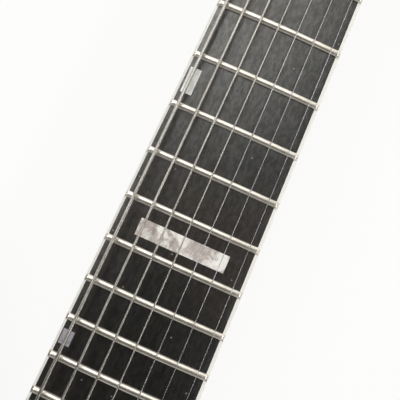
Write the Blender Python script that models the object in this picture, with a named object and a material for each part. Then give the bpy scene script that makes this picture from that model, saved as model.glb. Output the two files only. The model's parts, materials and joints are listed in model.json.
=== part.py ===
"""Seven-string electric guitar, modelled piece by piece for Blender 4.5.

Metres, +Z up. The guitar lies on its back: Z = 0 is the flat back of the body, +Y runs up the neck
to the headstock, +X is the treble side, and Y = 0 is the scale line at the bridge.
"""
import math

import bmesh
import bpy
from mathutils import Matrix, Vector

for leftover in list(bpy.data.objects):
    bpy.data.objects.remove(leftover, do_unlink=True)

MM = 0.001                  # unit of the outlines' points and of the small profiles

# Fit
GAP = 0.0003                # clearance between two pieces that meet

# Scale, fretboard and frets
SCALE = 0.6477              # from the nut to the scale line at the bridge
FRETS = 24
NUT_WIDTH = 0.0476
LAST_WIDTH = 0.0678         # board width at the last fret
BOARD_RADIUS = 0.400
BOARD_T = 0.006
BOARD_TAIL = 0.0055         # board beyond the last fret
BINDING_W = 0.0016
FRET_W = 0.0029
FRET_H = 0.0013
FRET_SEAT = 0.00012         # sunk into the board, so that no light shows under a fret
INLAY_LENGTH = 0.0394       # block inlay before the 12th fret, across the board
INLAY_WIDTH = 0.0074
INLAY_T = 0.0016
INLAY_FRET = 12

# Body
BODY_T = 0.0445
RIM_RADIUS = 0.005
FOREARM_AT = (-0.112, -0.035)   # where the forearm bevel starts on the top
FOREARM_SLOPE = math.radians(11)
FOREARM_TURN = math.radians(20)
BELLY_AT = (-0.190, 0.092, -0.037)   # centre of the ellipsoid that hollows the back at the waist
BELLY_SIZE = (0.160, 0.140, 0.056)
TOP_SKIN = 0.006            # wood left over the control cavity
LEDGE = 0.006               # shelf that the cavity cover lies on
COVER_T = 0.002

# Neck
NECK_RISE = 0.0015          # top of the neck above the top of the body
HEEL_DEPTH = 0.0175
HEEL_END = 0.206            # the square heel ends here and the round shaft starts to form
HEEL_BLEND = 0.040
SHAFT_DEPTH_BODY = 0.0150
SHAFT_DEPTH_NUT = 0.0130
NUT_T = 0.005
ROD_W = 0.0055
ROD_DEPTH = 0.009
ROD_NUT_R = 0.0036

# Headstock and tuners
HEAD_TILT = math.radians(7)
HEAD_T = 0.014
HEAD_EDGE = 0.0015
POST_FIRST = 0.035          # from the nut to the first pair of posts, along the headstock
POST_PITCH = 0.028
POST_SPREAD = 0.027         # first pair from the centreline
POST_CONVERGE = 0.001       # each further pair is this much nearer to the centreline
POST_R = 0.003
POST_HEIGHT = 0.0155
STEM_R = 0.0047
CASE_H = 0.0105
CASE_W = 0.0155
CASE_LENGTH = 0.020
WORM_OFFSET = 0.007         # the worm shaft passes beside the post
SHAFT_R = 0.0026
BUTTON_R = 0.0095
BUTTON_START = 0.0165
BUTTON_LENGTH = 0.0135
WIND_HEIGHT = 0.0056        # middle of the string winding above the headstock face

# Strings, number 1 the thinnest
STRING_DIAMETERS = (0.00025, 0.00033, 0.00043, 0.00066, 0.00091, 0.00117, 0.0015)
WINDS = (7, 6, 5, 4, 3.5, 3, 2.5)
NUT_PITCH = 0.0405 / 6
BRIDGE_PITCH = 0.0104
STRING_SHIFT = -0.00035     # the set of strings sits this much towards the bass edge
NUT_CLEAR = 0.0017          # string above the board at the nut
ACTION = 0.0018             # string above the 12th fret
BACK_ANGLE = math.radians(4)

# Bridge and tailpiece
POST_MARGIN = 0.0145        # from the outer strings to the posts' centres
BAR_END = 0.006             # bridge and tailpiece beyond the posts' centres
BRIDGE_W = 0.0155
BRIDGE_H = 0.0079
BRIDGE_STAND = 0.0026       # underside of the bridge above the body
BRIDGE_CENTRE = -0.0025
WHEEL_R = 0.008
STUD_R = 0.004
STUD_DEPTH = 0.020
SADDLE_W = 0.0062
SADDLE_LENGTH = 0.0054
SADDLE_H = 0.0075
SADDLE_TRAVEL = 0.0019      # each way from the middle of its slot
SADDLE_PLACES = (-0.0010, -0.0014, -0.0024, -0.0018, -0.0024, -0.0031, -0.0039)
TAIL_CENTRE = -0.042
TAIL_W = 0.013
TAIL_H = 0.0092
TAIL_STAND = 0.0030
TAIL_BORE_R = 0.0014

# Pickups
PICKUP_LENGTH = 0.1016
PICKUP_W = 0.0381
PICKUP_H = 0.0220
PICKUP_CORNER = 0.005
PICKUP_CLEAR = 0.0004
PICKUP_UNDER = 0.0030       # string to pickup, at the middle string
PICKUP_DROP = 0.003         # downward travel of the height screws
NECK_PICKUP_Y = 0.1335
BRIDGE_PICKUP_Y = 0.0380

# Controls
VOLUME_AT = (0.088, -0.030)
TONE_AT = (0.110, -0.064)
SWITCH_AT = (0.116, 0.013)
KNOB_R = 0.0095
KNOB_H = 0.0155
CAN_R = 0.012
CAN_H = 0.0105
BUSH_R = 0.0046
BORE_R = 0.0033             # bore for the pot's shaft
SWITCH_BORE_R = 0.0036
SWITCH_PIVOT = -0.003       # pivot below the top of the body
LEVER_R = 0.0014
LEVER_LENGTH = 0.021
JACK_Y = -0.020
JACK_BARREL_R = 0.0057
JACK_BORE_R = 0.00325
JACK_LENGTH = 0.036
JACK_FLANGE_R = 0.009
STRAP_R = 0.007
STRAP_H = 0.011
STRAP_SCREW_R = 0.0019
STRAP_SCREW_LENGTH = 0.016

# Outlines, in millimetres, as points that a smooth curve passes through
BODY_POINTS = [
    (0, -120), (72, -117), (122, -98), (152, -60), (161, -15), (151, 35), (128, 72), (116, 102),
    (119, 134), (131, 168), (142, 202), (147, 228), (143, 242), (130, 245), (111, 232), (90, 212),
    (70, 196), (52, 189), (30, 191), (0, 197), (-30, 204), (-52, 209), (-70, 220), (-89, 245),
    (-107, 275), (-124, 299), (-138, 309), (-151, 304), (-155, 287), (-151, 258), (-143, 220),
    (-131, 180), (-120, 140), (-117, 105), (-125, 72), (-144, 38), (-159, 0), (-162, -35),
    (-152, -75), (-122, -103), (-72, -117)]
CAVITY_POINTS = [
    (70, -60), (84, -84), (112, -89), (134, -62), (140, -20), (135, 28), (114, 38), (92, 22), (73, -12)]
HEAD_POINTS = [
    (24, 6), (30, 16), (37.5, 26), (39.5, 40), (38.5, 80), (37.5, 116), (33, 130), (20, 139),
    (0, 148), (-20, 156), (-32, 157), (-37.5, 146), (-38, 110), (-38.5, 70), (-39.5, 40),
    (-37.5, 26), (-30, 16), (-24, 6)]
COVER_POINTS = [(7, 3), (10, 10), (9.5, 22), (5, 42), (0, 47), (-5, 42), (-9.5, 22), (-10, 10), (-7, 3)]

# Heights and places that follow from the sizes above
POST_SPAN = 6 * BRIDGE_PITCH + 2 * POST_MARGIN
BRIDGE_LENGTH = POST_SPAN + 2 * BAR_END
NECK_TOP = BODY_T + NECK_RISE
BOARD_BOTTOM = NECK_TOP + GAP
BOARD_TOP = BOARD_BOTTOM + BOARD_T
HEAD = (Matrix.Translation((0, SCALE + NUT_T + GAP, NECK_TOP))
        @ Matrix.Rotation(-HEAD_TILT, 4, "X"))
SADDLE_CLEAR = 2 * (FRET_H + ACTION) - NUT_CLEAR
STRINGS = range(1, 8)


def fret_y(number):
    """Place of a fret along the neck."""
    return SCALE * 2 ** (-number / 12)


BOARD_END = fret_y(FRETS) - BOARD_TAIL


def half_width(y):
    """Half the board's width at y."""
    share = (SCALE - y) / (SCALE - fret_y(FRETS))
    return (NUT_WIDTH + (LAST_WIDTH - NUT_WIDTH) * share) / 2


def sag(x):
    """Drop of the cambered board, bridge and nut away from the centreline."""
    return BOARD_RADIUS - math.sqrt(BOARD_RADIUS ** 2 - x * x)


def string_x(number, y):
    """Sideways place of a string at y."""
    steps = 4 - number
    at_nut = STRING_SHIFT + steps * NUT_PITCH
    at_bridge = STRING_SHIFT + steps * BRIDGE_PITCH
    return at_bridge + (at_nut - at_bridge) * y / SCALE


def string_under(number, y):
    """Height of a string's underside between the saddle and the nut."""
    nut = BOARD_TOP - sag(string_x(number, SCALE)) + NUT_CLEAR
    saddle = BOARD_TOP - sag(string_x(number, 0)) + SADDLE_CLEAR
    return saddle + (nut - saddle) * y / SCALE


def post_place(number):
    """Place of a string's tuner post on the headstock: sideways, along, and its side, +1 treble."""
    side = 1 if number <= 3 else -1
    row = number - 1 if number <= 3 else 7 - number
    return side * (POST_SPREAD - POST_CONVERGE * row), POST_FIRST + POST_PITCH * row, side


def smooth_closed(points, steps):
    """Smooth closed curve through points given in millimetres (centripetal Catmull-Rom)."""
    points = [Vector(p) * MM for p in points]
    count = len(points)
    curve = []
    for i in range(count):
        p = [points[(i + k - 1) % count] for k in range(4)]
        t = [0.0]
        for a, b in zip(p, p[1:]):
            t.append(t[-1] + math.sqrt((b - a).length))
        for step in range(steps):
            u = t[1] + (t[2] - t[1]) * step / steps
            a = [p[k] * ((t[k + 1] - u) / (t[k + 1] - t[k])) + p[k + 1] * ((u - t[k]) / (t[k + 1] - t[k]))
                 for k in range(3)]
            b = [a[k] * ((t[k + 2] - u) / (t[k + 2] - t[k])) + a[k + 1] * ((u - t[k]) / (t[k + 2] - t[k]))
                 for k in range(2)]
            curve.append(b[0] * ((t[2] - u) / (t[2] - t[1])) + b[1] * ((u - t[1]) / (t[2] - t[1])))
    return curve


def grown(outline, distance):
    """Closed counter-clockwise outline moved outwards by a distance."""
    count = len(outline)
    result = []
    for i, point in enumerate(outline):
        along = (outline[(i + 1) % count] - outline[i - 1]).normalized()
        result.append(point + Vector((along.y, -along.x)) * distance)
    return result


def rounded_box(half_x, half_y, radius, steps=4):
    """Rectangle with round corners, counter-clockwise about the origin."""
    outline = []
    for quarter, (sx, sy) in enumerate(((1, 1), (-1, 1), (-1, -1), (1, -1))):
        for step in range(steps + 1):
            angle = math.pi / 2 * (quarter + step / steps)
            outline.append(Vector((sx * (half_x - radius) + radius * math.cos(angle),
                                   sy * (half_y - radius) + radius * math.sin(angle))))
    return outline


BODY_OUTLINE = smooth_closed(BODY_POINTS, 3)
CAVITY_OUTLINE = smooth_closed(CAVITY_POINTS, 4)


def prism(outline, low, high):
    """Solid between two heights over a closed outline."""
    bm = bmesh.new()
    face = bm.faces.new([bm.verts.new((p[0], p[1], low)) for p in outline])
    top = bmesh.ops.extrude_face_region(bm, geom=[face])
    moved = [v for v in top["geom"] if isinstance(v, bmesh.types.BMVert)]
    bmesh.ops.translate(bm, vec=(0, 0, high - low), verts=moved)
    bmesh.ops.recalc_face_normals(bm, faces=bm.faces)
    return bm


def round_rims(bm, radius, segments, low=True, high=True, beyond=-1.0):
    """Bevel the edges round the flat ends of a prism, apart from an edge that lies short of a y."""
    levels = [v.co.z for v in bm.verts]
    wanted = ([min(levels)] if low else []) + ([max(levels)] if high else [])
    rims = [e for e in bm.edges if any(all(abs(v.co.z - z) < 1e-6 for v in e.verts) for z in wanted)
            and max(v.co.y for v in e.verts) > beyond]
    bmesh.ops.bevel(bm, geom=rims, offset=radius, segments=segments, profile=0.5,
                    affect="EDGES", material=-1)
    return bm


def turned(profile, steps=20, closed=False):
    """Solid turned about Z from (radius, height) points, axis to axis, or a closed ring of them."""
    bm = bmesh.new()
    verts = [bm.verts.new((r, 0, z)) for r, z in profile]
    edges = [bm.edges.new(pair) for pair in zip(verts, verts[1:])]
    if closed:
        edges.append(bm.edges.new((verts[-1], verts[0])))
    bmesh.ops.spin(bm, geom=verts + edges, cent=(0, 0, 0), axis=(0, 0, 1), angle=2 * math.pi,
                   steps=steps, use_merge=True)
    bmesh.ops.remove_doubles(bm, verts=bm.verts, dist=1e-6)
    bmesh.ops.recalc_face_normals(bm, faces=bm.faces)
    return bm


def loft(rings):
    """Solid through rings of points, closed by a face at each end."""
    bm = bmesh.new()
    loops = [[bm.verts.new(p) for p in ring] for ring in rings]
    for a, b in zip(loops, loops[1:]):
        for i in range(len(a)):
            j = (i + 1) % len(a)
            bm.faces.new((a[i], a[j], b[j], b[i]))
    bm.faces.new(loops[0])
    bm.faces.new(loops[-1])
    bmesh.ops.recalc_face_normals(bm, faces=bm.faces)
    return bm


def box(low, high):
    """Plain box between two corners."""
    bm = bmesh.new()
    bmesh.ops.create_cube(bm, size=1)
    size = [b - a for a, b in zip(low, high)]
    middle = [(a + b) / 2 for a, b in zip(low, high)]
    bmesh.ops.scale(bm, vec=size, verts=bm.verts)
    bmesh.ops.translate(bm, vec=middle, verts=bm.verts)
    return bm


def moved(bm, matrix):
    """The same shape, carried by a matrix."""
    bmesh.ops.transform(bm, matrix=matrix, verts=bm.verts)
    return bm


def mesh_of(bm, name="shape"):
    """Mesh datablock from a bmesh."""
    mesh = bpy.data.meshes.new(name)
    bm.to_mesh(mesh)
    bm.free()
    return mesh


def combined(bm, steps):
    """Mesh after a list of Boolean steps, each an operation and the bmesh of its tool."""
    blank = bpy.data.objects.new("blank", mesh_of(bm))
    bpy.context.scene.collection.objects.link(blank)
    tools = []
    for operation, tool_bm in steps:
        tool = bpy.data.objects.new("tool", mesh_of(tool_bm))
        bpy.context.scene.collection.objects.link(tool)
        tools.append(tool)
        modifier = blank.modifiers.new(operation.lower(), "BOOLEAN")
        modifier.operation = operation
        modifier.object = tool
        modifier.solver = "EXACT"
    graph = bpy.context.evaluated_depsgraph_get()
    mesh = bpy.data.meshes.new_from_object(blank.evaluated_get(graph))
    for used in [blank] + tools:
        bpy.data.objects.remove(used, do_unlink=True)
    tidy = bmesh.new()
    tidy.from_mesh(mesh)
    bmesh.ops.dissolve_degenerate(tidy, edges=tidy.edges, dist=1e-6)
    tidy.to_mesh(mesh)
    tidy.free()
    return mesh


def cut(bm):
    return ("DIFFERENCE", bm)


def join(bm):
    return ("UNION", bm)


MATERIALS = {}


def finish(name, colour, roughness, metallic=0.0):
    """Principled material, made once for each name."""
    if name not in MATERIALS:
        material = bpy.data.materials.new(name)
        material.use_nodes = True
        shader = material.node_tree.nodes["Principled BSDF"]
        shader.inputs["Base Color"].default_value = (*colour, 1)
        shader.inputs["Roughness"].default_value = roughness
        shader.inputs["Metallic"].default_value = metallic
        material.diffuse_color = (*colour, 1)
        MATERIALS[name] = material
    return MATERIALS[name]


def lacquer():
    return finish("black_lacquer", (0.012, 0.012, 0.014), 0.15)


def maple():
    return finish("neck_maple", (0.55, 0.36, 0.18), 0.4)


def ebony():
    return finish("ebony", (0.020, 0.019, 0.017), 0.45)


def nickel():
    return finish("nickel_silver", (0.80, 0.76, 0.68), 0.25, 1.0)


def ivoroid():
    return finish("ivory_binding", (0.85, 0.83, 0.76), 0.35)


def pearl():
    return finish("mother_of_pearl", (0.80, 0.80, 0.76), 0.2)


def bone():
    return finish("bone", (0.80, 0.74, 0.60), 0.4)


def steel():
    return finish("string_steel", (0.62, 0.58, 0.52), 0.3, 1.0)


def black_plastic():
    return finish("black_plastic", (0.015, 0.015, 0.016), 0.4)


def black_chrome():
    return finish("black_chrome", (0.10, 0.10, 0.11), 0.25, 1.0)


def zinc():
    return finish("zinc_plate", (0.55, 0.54, 0.50), 0.4, 1.0)


def piece(name, mesh, material, matrix=None, parent=None):
    """One named object with its own copy of a material, smooth where the surface is round."""
    obj = bpy.data.objects.new(name, mesh)
    bpy.context.scene.collection.objects.link(obj)
    if not mesh.materials:
        mesh.materials.append(material)
    mesh.shade_smooth()
    mesh.set_sharp_from_angle(angle=math.radians(32))
    if matrix is not None:
        obj.matrix_world = matrix
    if parent is not None:
        obj.parent = parent
        obj.matrix_parent_inverse = parent.matrix_world.inverted()
    return obj


def cambered(y, half, low, high, segments):
    """Cross-section with a flat underside and a cambered top, as one ring."""
    top = []
    for i in range(segments + 1):
        x = half - 2 * half * i / segments
        top.append((x, y, high - sag(x)))
    return [(-half, y, low), (half, y, low)] + top


def make_body():
    """Solid body with its contours, neck pocket, pickup routs, control cavity and drilled holes."""
    bm = round_rims(prism(BODY_OUTLINE, 0, BODY_T), RIM_RADIUS, 2)
    over = BODY_T + 0.02
    pocket = [(sx * (half_width(y) + GAP), y)
              for sx, y in ((-1, BOARD_END - GAP), (1, BOARD_END - GAP), (1, 0.26), (-1, 0.26))]
    steps = [cut(prism(pocket, NECK_TOP - HEEL_DEPTH - GAP, over))]
    rout = rounded_box(PICKUP_LENGTH / 2 + PICKUP_CLEAR, PICKUP_W / 2 + PICKUP_CLEAR,
                       PICKUP_CORNER + PICKUP_CLEAR)
    for y in (NECK_PICKUP_Y, BRIDGE_PICKUP_Y):
        floor = pickup_top(y) - PICKUP_H - PICKUP_DROP - 0.001
        steps.append(cut(moved(prism(rout, floor, over), Matrix.Translation((0, y, 0)))))
    for side in (-1, 1):
        for y in (BRIDGE_CENTRE, TAIL_CENTRE):
            hole = turned([(0, BODY_T - STUD_DEPTH - GAP), (STUD_R + GAP, BODY_T - STUD_DEPTH - GAP),
                           (STUD_R + GAP, over), (0, over)])
            steps.append(cut(moved(hole, Matrix.Translation((side * POST_SPAN / 2, y, 0)))))
    steps.append(cut(prism(CAVITY_OUTLINE, -0.01, BODY_T - TOP_SKIN)))
    steps.append(cut(prism(grown(CAVITY_OUTLINE, LEDGE), -0.01, COVER_T + GAP)))
    for x, y, radius in ((*VOLUME_AT, BUSH_R), (*TONE_AT, BUSH_R), (*SWITCH_AT, SWITCH_BORE_R + 0.002)):
        hole = turned([(0, BODY_T - 2 * TOP_SKIN), (radius + GAP, BODY_T - 2 * TOP_SKIN),
                       (radius + GAP, over), (0, over)])
        steps.append(cut(moved(hole, Matrix.Translation((x, y, 0)))))
    jack_hole = turned([(0, -0.035), (JACK_BARREL_R + GAP, -0.035), (JACK_BARREL_R + GAP, 0.02), (0, 0.02)])
    steps.append(cut(moved(jack_hole, jack_place())))
    for place in strap_places():
        screw_hole = turned([(0, -STRAP_SCREW_LENGTH - GAP), (STRAP_SCREW_R + GAP, -STRAP_SCREW_LENGTH - GAP),
                             (STRAP_SCREW_R + GAP, 0.02), (0, 0.02)], 12)
        steps.append(cut(moved(screw_hole, place)))
    reach = 4 * BODY_T
    forearm = box((-2 * reach, -reach, 0), (0, reach, reach))
    turn = Matrix.Rotation(FOREARM_TURN, 4, "Z") @ Matrix.Rotation(-FOREARM_SLOPE, 4, "Y")
    steps.append(cut(moved(forearm, Matrix.Translation((*FOREARM_AT, BODY_T)) @ turn)))
    belly = bmesh.new()
    bmesh.ops.create_uvsphere(belly, u_segments=32, v_segments=20, radius=1)
    steps.append(cut(moved(belly, Matrix.Translation(BELLY_AT) @ Matrix.Diagonal((*BELLY_SIZE, 1)))))
    piece("body", combined(bm, steps), lacquer())


def neck_ring(y, half, depth, power, top=NECK_TOP, count=14):
    """Neck cross-section: flat on top, round or nearly square below as power grows."""
    ring = []
    for i in range(count + 1):
        angle = math.pi * i / count
        c, s = math.cos(angle), math.sin(angle)
        x = half * math.copysign(abs(c) ** (2 / power), c)
        ring.append((x, y, top - depth * abs(s) ** (2 / power)))
    return ring


def make_neck():
    """Neck with its square heel, round shaft, headstock, truss rod channel and tuner holes."""
    rings = [neck_ring(BOARD_END, half_width(BOARD_END), HEEL_DEPTH, 9)]
    for step in range(6):
        share = step / 5
        ease = share * share * (3 - 2 * share)
        y = HEEL_END + HEEL_BLEND * share
        depth = HEEL_DEPTH + (SHAFT_DEPTH_BODY - HEEL_DEPTH) * ease
        rings.append(neck_ring(y, half_width(y), depth, 9 + (2.3 - 9) * ease))
    shaft_start = HEEL_END + HEEL_BLEND
    for step in range(1, 5):
        y = shaft_start + (SCALE - 0.012 - shaft_start) * step / 4
        depth = SHAFT_DEPTH_BODY + (SHAFT_DEPTH_NUT - SHAFT_DEPTH_BODY) * step / 4
        rings.append(neck_ring(y, half_width(y), depth, 2.3))
    rings.append(neck_ring(SCALE, NUT_WIDTH / 2, SHAFT_DEPTH_NUT + 0.0010, 2.4))
    rings.append(neck_ring(SCALE + NUT_T, NUT_WIDTH / 2, SHAFT_DEPTH_NUT + 0.0020, 2.5))
    volute = HEAD @ Vector((0, 0.006, -GAP))
    rings.append(neck_ring(volute.y, NUT_WIDTH / 2 - 0.0005, SHAFT_DEPTH_NUT + 0.0020, 2.6, volute.z))
    shaft = loft(rings)

    curve = smooth_closed([(0, -25)] + HEAD_POINTS, 3)
    ears = [p for p in curve if p.y > 0.0055]
    start = -0.001
    neck_end = [Vector((-0.0236, start)), Vector((0.0236, start))]
    plate = round_rims(prism(neck_end + ears, -HEAD_T, 0), HEAD_EDGE, 1, beyond=0)
    steps = [join(moved(plate, HEAD))]
    rod_half = ROD_W / 2 + GAP
    steps.append(cut(box((-rod_half, BOARD_END + 0.012, NECK_TOP - ROD_DEPTH - GAP),
                         (rod_half, SCALE + 0.012, NECK_TOP + 0.01))))
    key = ROD_NUT_R + 0.0012
    steps.append(cut(box((-key, SCALE - 0.012, NECK_TOP - ROD_DEPTH - GAP),
                         (key, SCALE + NUT_T + 0.028, NECK_TOP + 0.01))))
    for number in STRINGS:
        x, along, side = post_place(number)
        hole = turned([(0, -HEAD_T - 0.01), (STEM_R + GAP, -HEAD_T - 0.01), (STEM_R + GAP, 0.01), (0, 0.01)], 12)
        steps.append(cut(moved(hole, HEAD @ Matrix.Translation((x, along, 0)))))
    piece("neck", combined(shaft, steps), maple())


def fret_solid(y):
    """One fret: a round crown that follows the camber, with bevelled ends over the binding."""
    end = half_width(y) - 0.0003
    inner = [(half_width(y) - BINDING_W) * i / 3 for i in range(-2, 3)]
    stations = [(-end, 0.2), (-end + 0.0010, 1)] + [(x, 1) for x in inner] + [(end - 0.0010, 1), (end, 0.2)]
    rings = []
    for x, lift in stations:
        base = BOARD_TOP - sag(x) - FRET_SEAT
        ring = []
        for i in range(5):
            angle = math.pi * i / 4
            ring.append((x, y + FRET_W / 2 * math.cos(angle), base + (FRET_H + FRET_SEAT) * lift * math.sin(angle)))
        rings.append(ring)
    return rings


def make_fretboard():
    """Cambered ebony board with its frets and the pocket for the block inlay."""
    rings = []
    start, stop = BOARD_END + BINDING_W, SCALE - GAP
    for i in range(4):
        y = start + (stop - start) * i / 3
        rings.append(cambered(y, half_width(y) - BINDING_W, BOARD_BOTTOM, BOARD_TOP, 6))
    board = loft(rings)
    pocket_y = inlay_y()
    pocket = box((-INLAY_LENGTH / 2 - GAP, pocket_y - INLAY_WIDTH / 2 - GAP, BOARD_TOP - INLAY_T - 3 * GAP),
                 (INLAY_LENGTH / 2 + GAP, pocket_y + INLAY_WIDTH / 2 + GAP, BOARD_TOP + 0.01))
    steps = [cut(pocket)]
    frets = bmesh.new()
    for number in range(1, FRETS + 1):
        wire = mesh_of(loft(fret_solid(fret_y(number))))
        frets.from_mesh(wire)
        bpy.data.meshes.remove(wire)
    steps.append(join(frets))
    piece("fretboard", combined(board, steps), ebony())


def inlay_y():
    """Middle of the block inlay, between its fret and the one before."""
    return (fret_y(INLAY_FRET) + fret_y(INLAY_FRET - 1)) / 2 - 0.0007


def make_inlay():
    """Mother-of-pearl block, cambered like the board."""
    y = inlay_y()
    half = INLAY_LENGTH / 2
    low = BOARD_TOP - INLAY_T - 2 * GAP
    rings = [cambered(y + side * INLAY_WIDTH / 2, half, low, BOARD_TOP, 8) for side in (-1, 1)]
    piece("block_inlay", mesh_of(loft(rings)), pearl())


def make_binding():
    """One strip of binding down both sides of the board and across its body end."""
    top_drop = GAP + FRET_SEAT
    thickness = BINDING_W - GAP
    rings = []

    def section(outer, inner):
        rings.append([(*outer, BOARD_BOTTOM), (*outer, BOARD_TOP - sag(outer[0]) - top_drop),
                      (*inner, BOARD_TOP - sag(inner[0]) - top_drop), (*inner, BOARD_BOTTOM)])

    end_in = BOARD_END + thickness
    side_y = SCALE - GAP
    corner = half_width(BOARD_END)
    section((-half_width(side_y), side_y), (-half_width(side_y) + thickness, side_y))
    section((-corner, BOARD_END), (-half_width(end_in) + thickness, end_in))
    for i in range(1, 8):
        x = corner * (-1 + 2 * i / 8)
        section((x, BOARD_END), (x, end_in))
    section((corner, BOARD_END), (half_width(end_in) - thickness, end_in))
    section((half_width(side_y), side_y), (half_width(side_y) - thickness, side_y))
    piece("fretboard_binding", mesh_of(loft(rings)), ivoroid())


def string_route(number):
    """Points of a string's centreline: tailpiece, saddle, nut, and the winding on its post."""
    radius = STRING_DIAMETERS[number - 1] / 2
    saddle_y = SADDLE_PLACES[number - 1]
    saddle = Vector((string_x(number, saddle_y), saddle_y, string_under(number, saddle_y) + radius))
    front_y = TAIL_CENTRE + TAIL_W / 2 + 0.0002
    front_z = saddle.z - (saddle_y - front_y) * math.tan(BACK_ANGLE)
    rear_y = TAIL_CENTRE - TAIL_W / 2 + 0.002
    nut = Vector((string_x(number, SCALE), SCALE, string_under(number, SCALE) + radius))
    route = [Vector((string_x(number, rear_y), rear_y, front_z)),
             Vector((string_x(number, front_y), front_y, front_z)), saddle]
    route += [saddle.lerp(nut, share) for share in (0.25, 0.5, 0.75)]
    start = HEAD.inverted() @ nut
    x, along, side = post_place(number)
    reach = POST_R + 2 * radius + GAP + radius
    to_post = Vector((x - start.x, along - start.y))
    bearing = math.atan2(to_post.y, to_post.x)
    bearing += side * math.asin(reach / to_post.length)
    length = math.sqrt(to_post.length ** 2 - reach ** 2)
    end = Vector((start.x + length * math.cos(bearing), start.y + length * math.sin(bearing), WIND_HEIGHT))
    return route + [nut, HEAD @ end]


def make_strings():
    """Seven strings, each a wire along its whole stretched route."""
    for number in STRINGS:
        curve = bpy.data.curves.new(f"string_{number}", "CURVE")
        curve.dimensions = "3D"
        curve.bevel_depth = STRING_DIAMETERS[number - 1] / 2
        curve.bevel_resolution = 2
        curve.render_resolution_u = 0
        curve.use_fill_caps = True
        route = string_route(number)
        spline = curve.splines.new("POLY")
        spline.points.add(len(route) - 1)
        for point, place in zip(spline.points, route):
            point.co = (*place, 1)
        curve.materials.append(steel())
        bpy.context.scene.collection.objects.link(bpy.data.objects.new(f"string_{number}", curve))


def make_nut():
    """Bone nut with a slot under each string, sloping back to the tuners."""
    half = NUT_WIDTH / 2 - GAP
    rings = [cambered(y, half, NECK_TOP + GAP, BOARD_TOP + top, 12)
             for y, top in ((SCALE, NUT_CLEAR + 0.0006), (SCALE + NUT_T * 0.45, NUT_CLEAR + 0.0003),
                            (SCALE + NUT_T, NUT_CLEAR - 0.0010))]
    steps = []
    for number in STRINGS:
        route = string_route(number)
        nut, end = route[-2], route[-1]
        before = nut - (nut - route[-3]).normalized() * 0.002
        after = nut + (end - nut).normalized() * 0.009
        wide = STRING_DIAMETERS[number - 1] / 2 + GAP
        section = []
        for p in (before, nut, after):
            section.append([(p.x - wide, p.y, p.z - wide), (p.x + wide, p.y, p.z - wide),
                            (p.x + wide, p.y, p.z + 0.004), (p.x - wide, p.y, p.z + 0.004)])
        steps.append(cut(loft(section)))
    piece("nut", combined(loft(rings), steps), bone())


def make_truss_rod():
    """Two-way truss rod in its channel, with the adjusting nut under the headstock cover."""
    middle = NECK_TOP - ROD_DEPTH / 2 - GAP
    rod = box((-ROD_W / 2, BOARD_END + 0.012 + GAP, NECK_TOP - ROD_DEPTH),
              (ROD_W / 2, SCALE - 0.010, NECK_TOP - 0.001))
    neck_of_nut = turned([(0, 0), (0.0022, 0), (0.0022, 0.006), (ROD_NUT_R, 0.006), (ROD_NUT_R, 0.016),
                          (0.002, 0.016), (0.002, 0.009), (0, 0.009)], 12)
    place = Matrix.Translation((0, SCALE - 0.0115, middle)) @ Matrix.Rotation(math.radians(-90), 4, "X")
    piece("truss_rod", combined(rod, [join(moved(neck_of_nut, place))]), zinc())
    plate = prism(smooth_closed(COVER_POINTS, 2), GAP, GAP + 0.0018)
    piece("truss_rod_cover", mesh_of(round_rims(plate, 0.0005, 1, low=False)), black_plastic(), HEAD)


def pickup_top(y):
    """Height of a pickup's top face under the middle string."""
    return string_under(4, y) - PICKUP_UNDER


def make_pickups():
    """Two closed soapbar pickups."""
    for name, y in (("neck_pickup", NECK_PICKUP_Y), ("bridge_pickup", BRIDGE_PICKUP_Y)):
        outline = rounded_box(PICKUP_LENGTH / 2, PICKUP_W / 2, PICKUP_CORNER)
        shell = round_rims(prism(outline, -PICKUP_H, 0), 0.0015, 2, low=False)
        piece(name, mesh_of(shell), black_plastic(), Matrix.Translation((0, y, pickup_top(y))))


def bar_ring(x, centre, half, low, high, edge):
    """Rounded cross-section of a bar that lies along X."""
    outline = rounded_box(half, (high - low) / 2, edge, 2)
    return [(x, centre + p.x, (low + high) / 2 + p.y) for p in outline]


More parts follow.
